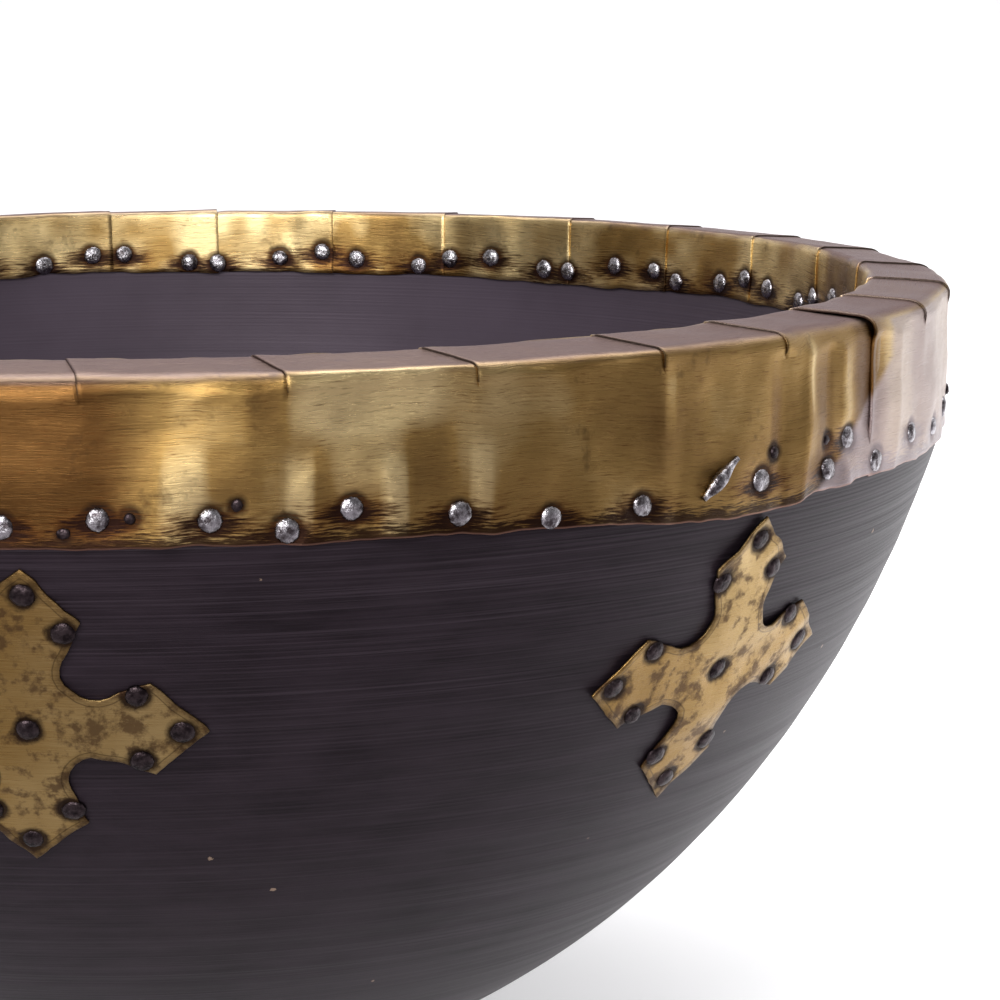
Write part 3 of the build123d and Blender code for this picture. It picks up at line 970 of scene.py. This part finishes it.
def nail_points(name, seats):
    """An object with a point on each seat and the seat's outward direction."""
    mesh = bpy.data.meshes.new(name)
    mesh.from_pydata([tuple(place) for place, _ in seats], [], [])
    axes = np.array([tuple(axis) for _, axis in seats], dtype=np.float32)
    mesh.attributes.new("axis", "FLOAT_VECTOR", "POINT").data.foreach_set("vector", axes.ravel())
    return make_object(name, mesh)


def seat_on(sheets, spots):
    """Each nail's place moved along its axis onto the sheets that it holds."""
    seats = []
    for place, axis in spots:
        place, axis = Vector(place), Vector(axis)
        start = place + axis * 4 * MM
        best = None
        for sheet in sheets:
            found, where, normal, _ = sheet.ray_cast(start, -axis, distance=7 * MM)
            if found and (best is None or (where - start).length < (best[0] - start).length):
                best = (where, normal)
        if best is not None:
            place, axis = best[0], (axis + 0.6 * best[1]).normalized()
        seats.append((place, axis))
    return seats


def bent_nail_mesh():
    """A nail hammered flat against the skirt, from its point up to its root."""
    tip, root, count, sides = BENT_TIP, BENT_ROOT, 12, 10
    along = around(root[0], RIM_RADIUS, root[1] * MM) - around(tip[0], RIM_RADIUS, tip[1] * MM)
    along = along / np.linalg.norm(along)
    points = []
    for step in range(count):
        share = step / (count - 1)
        azimuth = tip[0] + (root[0] - tip[0]) * share
        z = SKIRT_EDGE_Z + (tip[1] + (root[1] - tip[1]) * share) * MM
        arch = math.sin(math.pi * share)
        thick = BENT_RADIUS * (0.72 + 0.35 * arch - 0.25 * math.cos(7 * share))
        out = wall_radius(SKIRT_EDGE_Z) + BRASS + 0.55 * MM + thick * 0.6
        centre = around(azimuth - math.degrees(0.5 * MM * arch / RIM_RADIUS), out, z)
        away = around(azimuth, 1.0, 0.0)
        side = np.cross(along, away)
        side = side / np.linalg.norm(side)
        for turn in range(sides):
            angle = 2 * math.pi * turn / sides
            reach = thick * (0.85 if turn % 2 else 1.0)
            offset = math.cos(angle) * side + 0.75 * math.sin(angle) * away
            points.append(tuple(centre + reach * offset))
    faces = ring_faces(count, sides)
    faces.append(tuple(range(sides))[::-1])
    faces.append(tuple((count - 1) * sides + turn for turn in range(sides)))
    mesh = bpy.data.meshes.new("bent_nail")
    mesh.from_pydata(points, [], faces)
    shape = bmesh.new()
    shape.from_mesh(mesh)
    bmesh.ops.recalc_face_normals(shape, faces=shape.faces[:])
    shape.to_mesh(mesh)
    shape.free()
    return mesh


# Finishes


def wood_finish(look):
    """Dark stained wood with fine turning lines: painted shade in their grooves, paler streaks
    along them, and polish between.
    """
    material, tree, shader = new_material("stained_wood")
    place = add_node(tree, "ShaderNodeTexCoord").outputs["Object"]
    parts = add_node(tree, "ShaderNodeSeparateXYZ", {0: place})
    height = parts.outputs["Z"]
    slow = noise_of(tree, place, 1.0, 4.0, 0.6, stretch=(6, 6, 900))
    fine = noise_of(tree, place, 1.0, 5.0, 0.65, stretch=(14, 14, 2600))
    grain = noise_of(tree, place, 1.0, 6.0, 0.6, stretch=(60, 60, 260))
    patch = noise_of(tree, place, 22.0, 4.0, 0.55)

    # The hollow lies inside a slightly smaller copy of the wall's ellipse
    lowered = calculate(tree, "SUBTRACT", height, WALL_CENTRE_Z)
    level = calculate(tree, "DIVIDE", lowered, WALL_SEMI_HEIGHT)
    wide = calculate(tree, "DIVIDE", parts.outputs["X"], WALL_SEMI_WIDTH)
    deep = calculate(tree, "DIVIDE", parts.outputs["Y"], WALL_SEMI_WIDTH)
    shell = weighted(tree, (level, level), (wide, wide), (deep, deep))
    hollow = remap(tree, shell, 0.88, 0.90, 1.0, 0.0)

    # Turning lines: a wavering ridge that is strongest high on the wall
    shifted = calculate(tree, "MULTIPLY_ADD", noise_of(tree, place, 9.0, 2.0), 0.0006, height)
    phase = calculate(tree, "MULTIPLY", shifted, 2 * math.pi / look.lathe_pitch)
    strength = remap(tree, height, 0.060, 0.112, 0.1, 1.3)
    strength = calculate(tree, "MULTIPLY", strength, remap(tree, hollow, 0, 1, 1.0, 0.25))
    strength = calculate(tree, "MULTIPLY", strength, remap(tree, slow, 0.35, 0.62, 0.25, 1.2))
    lines = calculate(tree, "MULTIPLY", calculate(tree, "SINE", phase), strength)
    light_line = calculate(tree, "MULTIPLY", remap(tree, fine, 0.48, 0.66), strength)

    colour = stained(tree, colour_of(look.dark_colour), grain, (0.35, 0.7), look.colour)
    # Painted shade darkens the grooves of the turning lines
    colour = stained(tree, colour, lines, (-0.1, -0.9, 0.0, 0.42), (0.006, 0.004, 0.006))
    light = calculate(tree, "MULTIPLY", light_line, 0.5)
    colour = mix_colour(tree, light, colour, (0.060, 0.046, 0.058, 1))
    colour = stained(tree, colour, fine, (0.5, 0.72, 0, 0.7), (0.030, 0.021, 0.028))
    colour = stained(tree, colour, patch, (0.52, 0.75, 0, 0.45), (0.032, 0.023, 0.029))
    dusty = calculate(tree, "MULTIPLY", hollow, remap(tree, patch, 0.3, 0.7, 0.5, 1.0))
    colour = mix_colour(tree, dusty, colour, (0.062, 0.048, 0.064, 1))

    # Rare pale flecks with ragged edges
    inputs = {"Vector": place, "Scale": 110.0, "Randomness": 1.0}
    cells = add_node(tree, "ShaderNodeTexVoronoi", inputs)
    tone = add_node(tree, "ShaderNodeSeparateColor", {0: cells.outputs["Color"]}).outputs[0]
    edge = noise_of(tree, place, 1500.0)
    ragged = calculate(tree, "MULTIPLY_ADD", edge, 0.11, cells.outputs["Distance"])
    close = remap(tree, ragged, 0.095, 0.11, 1.0, 0.0)
    fleck = calculate(tree, "MULTIPLY", close, remap(tree, tone, 0.72, 0.73))
    colour = mix_colour(tree, fleck, colour, (0.30, 0.21, 0.15, 1))

    tree.links.new(colour, shader.inputs["Base Color"])
    tree.links.new(remap(tree, slow, 0.3, 0.7, 0.40, 0.49), shader.inputs["Roughness"])
    shader.inputs["Specular IOR Level"].default_value = 0.21
    shader.inputs["Specular Tint"].default_value = (1.0, 0.84, 0.97, 1)
    relief = weighted(tree, (lines, 0.4), (fine, 1.3), (slow, 0.5), (grain, 0.8))
    add_relief(tree, shader, relief, 0.5, 0.00007)
    return material


def age_band(tree, shader, sheet, broad, colour):
    """The band's colour: burnt beside nails and along its edge, painted shade along the slits, and
    painted reflections, grey over the rim and pale on the skirt's right side.
    """
    above = attribute_of(tree, "above_edge")
    grey = attribute_of(tree, "greyed")
    lick = noise_of(tree, sheet, 1.0, 4.0, 0.65, stretch=(26, 300, 1))
    burnt = calculate(tree, "MULTIPLY_ADD", lick, 2.2, attribute_of(tree, "soot"))
    colour = stained(tree, colour, burnt, (1.22, 1.6, 0, 0.75), (0.12, 0.045, 0.012))
    colour = stained(tree, colour, burnt, (1.50, 1.85, 0.0, 0.95), (0.022, 0.010, 0.008))
    low = calculate(tree, "MULTIPLY_ADD", lick, -9.0, above)
    low = calculate(tree, "MULTIPLY_ADD", broad, -3.5, low)
    colour = stained(tree, colour, low, (-5.2, -3.8, 0.92, 0.0), (0.03, 0.014, 0.009))
    # Painted reflections of the pale backdrop at a grazing angle: grey over the rim's top and pale
    # lilac on the skirt's right side; the top's edge reflections are tinted to match
    for share, tint in ((grey, (0.24, 0.20, 0.215, 1)),
                        (attribute_of(tree, "bloom"), (0.42, 0.35, 0.36, 1))):
        colour = mix_colour(tree, calculate(tree, "MULTIPLY", share, 0.7), colour, tint)
    edge_tint = mix_colour(tree, grey, (1, 1, 1, 1), (0.50, 0.44, 0.47, 1))
    tree.links.new(edge_tint, shader.inputs["Specular Tint"])
    # Painted shade in the slits between tabs, darkening the sheet along each tab's sides
    slit = attribute_of(tree, "from_slit")
    colour = stained(tree, colour, slit, (0.08, 0.35, 0.7, 0.0), (0.03, 0.02, 0.014))
    return stained(tree, colour, above, (0.15, 0.35, 0.6, 0.0), (0.30, 0.16, 0.12))


def age_plate(tree, blotch, colour):
    """A cross plate's colour: a line scribed along its edge, and dirt outside it."""
    rim = attribute_of(tree, "from_edge")
    off = calculate(tree, "ABSOLUTE", calculate(tree, "SUBTRACT", rim, 1.15))
    colour = stained(tree, colour, off, (0.05, 0.16, 0.55, 0.0), (0.05, 0.03, 0.015))
    dirt = calculate(tree, "MULTIPLY_ADD", blotch, -3.2, rim)
    return stained(tree, colour, dirt, (-1.6, 0.2, 0.6, 0.0), (0.055, 0.028, 0.014))


def brass_finish(name, look):
    """Sheet brass: brushed along the strip, stained by age, with painted sheen and reflections,
    black round nails and along edges.
    """
    plain, blotch_scale, stain_start, stain_depth, age = SHEETS[name]
    material, tree, shader = new_material(name)
    place = add_node(tree, "ShaderNodeTexCoord").outputs["Object"]
    sheet = add_node(tree, "ShaderNodeUVMap", uv_map="UVMap").outputs[0]
    broad = noise_of(tree, place, 24.0, 4.0, 0.6)
    blotch = noise_of(tree, place, blotch_scale, 5.0, 0.66)
    speck = noise_of(tree, place, 420.0, 4.0, 0.6)
    brushed = noise_of(tree, sheet, 1.0, 4.0, 0.6, stretch=(9, 620, 1))
    scratch = noise_of(tree, sheet, 1.0, 5.0, 0.7, stretch=(16, 1500, 1))

    # The tone holds painted sheen and reflections along with tarnish; it runs the brass from brown
    # through dull to bright
    sheen_and_tarnish = calculate(tree, "SUBTRACT", attribute_of(tree, "tone"), plain)
    uneven = calculate(tree, "MULTIPLY_ADD", broad, 1.5, sheen_and_tarnish)
    uneven = calculate(tree, "SUBTRACT", uneven, 0.3)
    uneven = calculate(tree, "MULTIPLY_ADD", brushed, 0.6, uneven)
    colour = stained(tree, colour_of(look.brown_colour), uneven, (-0.9, 0.05), look.aged_colour)
    colour = stained(tree, colour, uneven, (0.05, 0.95), look.colour)
    stain = weighted(tree, (blotch, 0.75), (speck, 0.35))
    stain = remap(tree, stain, stain_start, stain_start + 0.10, 0, 0.78 * age)
    dark_stain = [stain_depth * share for share in look.stain_colour]
    colour = mix_colour(tree, stain, colour, colour_of(dark_stain))
    colour = stained(tree, colour, scratch, (0.62, 0.72, 0, 0.6 * age), look.stain_colour)
    ragged = calculate(tree, "MULTIPLY_ADD", blotch, -2.2, attribute_of(tree, "near_nail"))
    ring = remap(tree, ragged, 1.15, 2.1, 0.92, 0.0)
    colour = mix_colour(tree, ring, colour, (0.022, 0.012, 0.010, 1))
    if name == "rim_sheet":
        colour = age_band(tree, shader, sheet, broad, colour)
    else:
        colour = age_plate(tree, blotch, colour)
    tree.links.new(colour, shader.inputs["Base Color"])

    dull = calculate(tree, "MAXIMUM", stain, ring)
    rough = remap(tree, brushed, 0.3, 0.7, look.roughness - 0.06, look.roughness + 0.07)
    rough = calculate(tree, "MULTIPLY_ADD", dull, 0.22, rough)
    tree.links.new(rough, shader.inputs["Roughness"])
    shader.inputs["Metallic"].default_value = 1.0
    relief = weighted(
        tree, (blotch, 0.9), (brushed, 0.35), (scratch, 0.25), (speck, 0.30), (dull, -0.35)
    )
    add_relief(tree, shader, relief, 0.6, 0.00022)
    return material


def nail_finish(name, colour, dirt, roughness):
    """Hammered steel with dirt in its hollows."""
    material, tree, shader = new_material(name)
    place = add_node(tree, "ShaderNodeTexCoord").outputs["Object"]
    coarse = noise_of(tree, place, 700.0, 3.0, 0.6)
    fine = noise_of(tree, place, 2600.0, 3.0, 0.6)
    tone = stained(tree, colour_of(dirt), coarse, (0.38, 0.62), colour)
    rough = remap(tree, fine, 0.3, 0.7, roughness - 0.08, roughness + 0.12)
    tree.links.new(tone, shader.inputs["Base Color"])
    tree.links.new(rough, shader.inputs["Roughness"])
    shader.inputs["Metallic"].default_value = 1.0
    relief = calculate(tree, "MULTIPLY_ADD", fine, 0.4, coarse)
    add_relief(tree, shader, relief, 0.8, 0.0003)
    return material


# What a user can change


class BowlWood(bpy.types.PropertyGroup):
    """The turned wooden bowl."""

    segments: IntProperty(name="Segments", description="Facets round the bowl", default=288)
    out_of_round: FloatProperty(
        name="Out of round", description="Share by which the wood has shrunk unevenly",
        default=0.0002,
    )
    lathe_pitch: FloatProperty(
        name="Lathe pitch", description="Height between turning lines", default=0.78 * MM,
        unit="LENGTH",
    )
    colour: FloatVectorProperty(
        name="Colour", description="Stained wood", default=(0.022, 0.015, 0.0205), size=3,
        subtype="COLOR",
    )
    dark_colour: FloatVectorProperty(
        name="Dark colour", description="Stain in the grain", default=(0.009, 0.006, 0.008),
        size=3, subtype="COLOR",
    )


class BowlBrass(bpy.types.PropertyGroup):
    """The brass band and cross plates."""

    bulge: FloatProperty(
        name="Bulge", description="How far the skirt stands off between its nails",
        default=0.45 * MM, unit="LENGTH",
    )
    colour: FloatVectorProperty(
        name="Colour", description="Bright brass", default=(0.76, 0.58, 0.29), size=3,
        subtype="COLOR",
    )
    aged_colour: FloatVectorProperty(
        name="Aged colour", description="Brass dulled by handling", default=(0.35, 0.215, 0.070),
        size=3, subtype="COLOR",
    )
    brown_colour: FloatVectorProperty(
        name="Brown colour", description="Brass browned by age", default=(0.135, 0.065, 0.020),
        size=3, subtype="COLOR",
    )
    stain_colour: FloatVectorProperty(
        name="Stain colour", description="Brown stains", default=(0.075, 0.040, 0.020), size=3,
        subtype="COLOR",
    )
    roughness: FloatProperty(
        name="Roughness", description="Roughness of the bare brass", default=0.30,
        subtype="FACTOR",
    )


class BowlNails(bpy.types.PropertyGroup):
    """The nails."""

    head_radius: FloatProperty(
        name="Head radius", description="Radius of a nail's head", default=1.95 * MM,
        unit="LENGTH",
    )
    head_height: FloatProperty(
        name="Head height", description="Height of a nail's head", default=0.7 * MM,
        unit="LENGTH",
    )
    stub_radius: FloatProperty(
        name="Stub radius", description="Radius of a broken nail", default=1.0 * MM,
        unit="LENGTH",
    )
    hammering: FloatProperty(
        name="Hammering", description="Unevenness left by the hammer", default=0.5 * MM,
        unit="LENGTH",
    )
    steel_colour: FloatVectorProperty(
        name="Steel colour", description="Nails in the band", default=(0.52, 0.50, 0.53), size=3,
        subtype="COLOR",
    )
    dark_colour: FloatVectorProperty(
        name="Dark colour", description="Nails in the cross plates", default=(0.070, 0.052, 0.056),
        size=3, subtype="COLOR",
    )


class BowlStage(bpy.types.PropertyGroup):
    """The floor and lights."""

    floor_colour: FloatVectorProperty(
        name="Floor colour", description="Pale paper", default=(0.86, 0.86, 0.87), size=3,
        subtype="COLOR",
    )
    key_power: FloatProperty(name="Key power", description="Front softbox", default=7.0,
                             unit="POWER")
    top_power: FloatProperty(name="Top power", description="Overhead softbox", default=5.0,
                             unit="POWER")


# Operators


class BOWL_OT_body(bpy.types.Operator):
    """Turn the wooden bowl"""

    bl_idname = "bowl.body"
    bl_label = "Wooden bowl"

    def execute(self, context):
        look = context.scene.bowl_wood
        profile = bowl_profile()
        mesh = bpy.data.meshes.new("turned_bowl")
        mesh.from_pydata([(x, 0, z) for x, z in profile], [], [])
        tree = turning_tree(wood_finish(look))
        piece = run_tree(
            make_object("turned_bowl", mesh), tree,
            segments=look.segments, rows=len(profile), out_of_round=look.out_of_round,
        )
        if len(piece.data.polygons) < 1000:
            raise RuntimeError("the bowl was not turned")
        finish_piece(piece, "dark_wood", "bowl_body")
        return {"FINISHED"}


class BOWL_OT_rim(bpy.types.Operator):
    """Fold the brass band over the rim"""

    bl_idname = "bowl.rim"
    bl_label = "Brass band"

    def execute(self, context):
        look = context.scene.bowl_brass
        material = brass_finish("rim_sheet", look)
        outer, stubs, inner = [
            [place for spots in nail_spots(prefix, facing).values() for place, _ in spots]
            for prefix, facing in
            (("rim_outer_nails_", 1), ("rim_stub_nails_", 1), ("rim_inner_nails_", -1))
        ]
        if not outer or not inner:
            raise RuntimeError("the band has no nails to hold it")
        for index, node in enumerate(STRIP_NODES):
            mesh = rim_strip_mesh(index, outer, stubs, inner, look)
            mesh.materials.append(material)
            piece = make_object(f"band_strip_{index + 1}", mesh)
            give_thickness(piece)
            finish_piece(piece, "rim_brass", node)
        return {"FINISHED"}


class BOWL_OT_crosses(bpy.types.Operator):
    """Lay the cross plates on the wall"""

    bl_idname = "bowl.crosses"
    bl_label = "Cross plates"

    def execute(self, context):
        material = brass_finish("cross_sheet", context.scene.bowl_brass)
        for index, node in enumerate(PLATE_NODES):
            mesh = cross_plate_mesh(index)
            mesh.materials.append(material)
            piece = make_object(f"cross_sheet_{index + 1}", mesh)
            give_thickness(piece)
            finish_piece(piece, "cross_brass", node)
        return {"FINISHED"}


class BOWL_OT_nails(bpy.types.Operator):
    """Drive the nails"""

    bl_idname = "bowl.nails"
    bl_label = "Nails"

    def execute(self, context):
        sizes = context.scene.bowl_nails
        bpy.context.view_layer.update()
        steel = nail_finish("bright_steel", sizes.steel_colour, (0.09, 0.075, 0.08), 0.22)
        dark = nail_finish("dark_steel", sizes.dark_colour, (0.02, 0.014, 0.016), 0.36)
        head = make_object("head", nail_head(sizes.head_radius, sizes.head_height))
        stub = make_object("stub", nail_head(sizes.stub_radius, STUB_HEIGHT))
        band = [bpy.data.objects[f"band_strip_{i + 1}"] for i in range(len(STRIP_NODES))]
        plates = [bpy.data.objects[f"cross_sheet_{i + 1}"] for i in range(len(PLATE_NODES))]
        kinds = (
            ("rim_outer_nails_", 1, head, steel, "steel_nails", band),
            ("rim_inner_nails_", -1, head, steel, "steel_nails", band),
            ("rim_stub_nails_", 1, stub, dark, "dark_nails", band),
            ("cross_nails_", 1, head, dark, "dark_nails", plates),
        )
        for prefix, facing, shape, material, slot, sheets in kinds:
            tree = nailing_tree(shape, material)
            for number, (node, spots) in enumerate(nail_spots(prefix, facing).items()):
                seats = seat_on(sheets, spots)
                points = nail_points(node.replace("nails", "heads"), seats)
                piece = run_tree(points, tree, seed=5 + number, hammering=sizes.hammering)
                if not piece.data.polygons:
                    raise RuntimeError(f"no nails were made for {node}")
                finish_piece(piece, slot, node)
        for shape in (head, stub):
            mesh = shape.data
            bpy.data.objects.remove(shape)
            bpy.data.meshes.remove(mesh)
        mesh = bent_nail_mesh()
        mesh.materials.append(steel)
        finish_piece(make_object("flattened_nail", mesh), "steel_nails", "bent_nail")
        return {"FINISHED"}


def paper_finish(colour):
    """Paper that is grey in front of the bowl and glows white behind it."""
    material, tree, shader = new_material("paper")
    place = add_node(tree, "ShaderNodeTexCoord").outputs["Object"]
    tooth = noise_of(tree, place, 900.0, 3.0)
    shade = stained(tree, colour_of(colour), tooth, (0.3, 0.7, 0, 0.03), (0.75, 0.75, 0.76))
    parts = add_node(tree, "ShaderNodeSeparateXYZ", {0: place})
    away = remap(tree, parts.outputs["Y"], FLOOR_GREY_Y, FLOOR_WHITE_Y)
    shade = mix_colour(tree, away, (0.24, 0.22, 0.235, 1), shade)
    glow = calculate(tree, "MULTIPLY_ADD", away, 0.55, 0.02)
    tree.links.new(shade, shader.inputs["Base Color"])
    tree.links.new(shade, shader.inputs["Emission Color"])
    tree.links.new(glow, shader.inputs["Emission Strength"])
    shader.inputs["Roughness"].default_value = 0.85
    return material


def area_light(name, place, target, size, power):
    """A softbox that faces a point."""
    lamp = bpy.data.lights.new(name, "AREA")
    lamp.shape = "RECTANGLE"
    lamp.size, lamp.size_y = size
    lamp.energy = power
    made = make_object(name, lamp)
    made.location = place
    aim = Vector(target) - Vector(place)
    made.rotation_euler = aim.to_track_quat("-Z", "Y").to_euler()


class BOWL_OT_stage(bpy.types.Operator):
    """Set the floor, lights and camera"""

    bl_idname = "bowl.stage"
    bl_label = "Stage"

    def execute(self, context):
        look = context.scene.bowl_stage
        scene = context.scene
        sides = [(-FLOOR_HALF, -FLOOR_HALF), (FLOOR_HALF, -FLOOR_HALF), (FLOOR_HALF, FLOOR_HALF),
                 (-FLOOR_HALF, FLOOR_HALF)]
        mesh = bpy.data.meshes.new("paper_floor")
        mesh.from_pydata([(x, y, 0) for x, y in sides], [], [(0, 1, 2, 3)])
        mesh.materials.append(paper_finish(look.floor_colour))
        make_object("paper_floor", mesh)

        world = bpy.data.worlds.new("studio")
        world.use_nodes = True
        scene.world = world
        scene.view_settings.view_transform = "Standard"
        sky = world.node_tree
        background = sky.nodes["Background"]
        background.inputs["Color"].default_value = (1.0, 0.985, 1.0, 1)
        aim = add_node(sky, "ShaderNodeTexCoord").outputs["Generated"]
        ahead = add_node(sky, "ShaderNodeSeparateXYZ", {0: aim}).outputs["Y"]
        sky.links.new(remap(sky, ahead, -0.2, 0.55, 0.30, 1.0), background.inputs["Strength"])

        area_light("key", (-0.75, -1.5, 1.25), (0, 0, 0.12), (0.9, 0.6), look.key_power * 4)
        area_light("top", (0.1, 0.35, 1.3), (0, 0.05, 0.1), (1.6, 1.0), look.top_power * 2.6)
        area_light("front", (-0.35, -1.7, 0.42), (0, 0, 0.14), (1.3, 0.45), look.key_power * 1.3)
        set_camera(scene)
        return {"FINISHED"}


def set_camera(scene):
    """A long lens a little above the rim, turned slightly right of the bowl's middle."""
    turn, dip, roll = CAMERA_TURN, CAMERA_DIP, CAMERA_ROLL
    right = Vector((math.cos(turn), -math.sin(turn), 0))
    ahead = Vector((math.sin(turn), math.cos(turn), 0))
    forward = math.cos(dip) * ahead - math.sin(dip) * Vector((0, 0, 1))
    upward = right.cross(forward)
    across = math.cos(roll) * right - math.sin(roll) * upward
    rising = math.sin(roll) * right + math.cos(roll) * upward
    data = bpy.data.cameras.new("camera")
    data.lens = CAMERA_LENS
    data.sensor_width = 36.0
    data.clip_start = 0.01
    camera = make_object("camera", data)
    turned = Matrix((across, rising, -forward)).transposed().to_4x4()
    camera.matrix_world = Matrix.Translation(CAMERA_PLACE) @ turned
    scene.camera = camera


class BOWL_PT_panel(bpy.types.Panel):
    """The bowl's pieces and settings"""

    bl_idname = "BOWL_PT_panel"
    bl_label = "Brass-bound bowl"
    bl_space_type = "VIEW_3D"
    bl_region_type = "UI"
    bl_category = "Bowl"

    def draw(self, context):
        for settings, group in SETTINGS.items():
            box = self.layout.box()
            for name in group.__annotations__:
                box.prop(getattr(context.scene, settings), name)
        for operator in OPERATORS:
            self.layout.operator(operator.bl_idname)


SETTINGS = {
    "bowl_wood": BowlWood,
    "bowl_brass": BowlBrass,
    "bowl_nails": BowlNails,
    "bowl_stage": BowlStage,
}
OPERATORS = (BOWL_OT_body, BOWL_OT_rim, BOWL_OT_crosses, BOWL_OT_nails, BOWL_OT_stage)


def register():
    for kind in (*SETTINGS.values(), *OPERATORS, BOWL_PT_panel):
        bpy.utils.register_class(kind)
    for name, group in SETTINGS.items():
        setattr(bpy.types.Scene, name, PointerProperty(type=group))


def unregister():
    for name in SETTINGS:
        delattr(bpy.types.Scene, name)
    for kind in reversed((*SETTINGS.values(), *OPERATORS, BOWL_PT_panel)):
        bpy.utils.unregister_class(kind)


def main():
    """Builds every piece in order."""
    register()
    for operator in OPERATORS:
        group, name = operator.bl_idname.split(".")
        getattr(getattr(bpy.ops, group), name)()


if __name__ == "__main__":
    main()
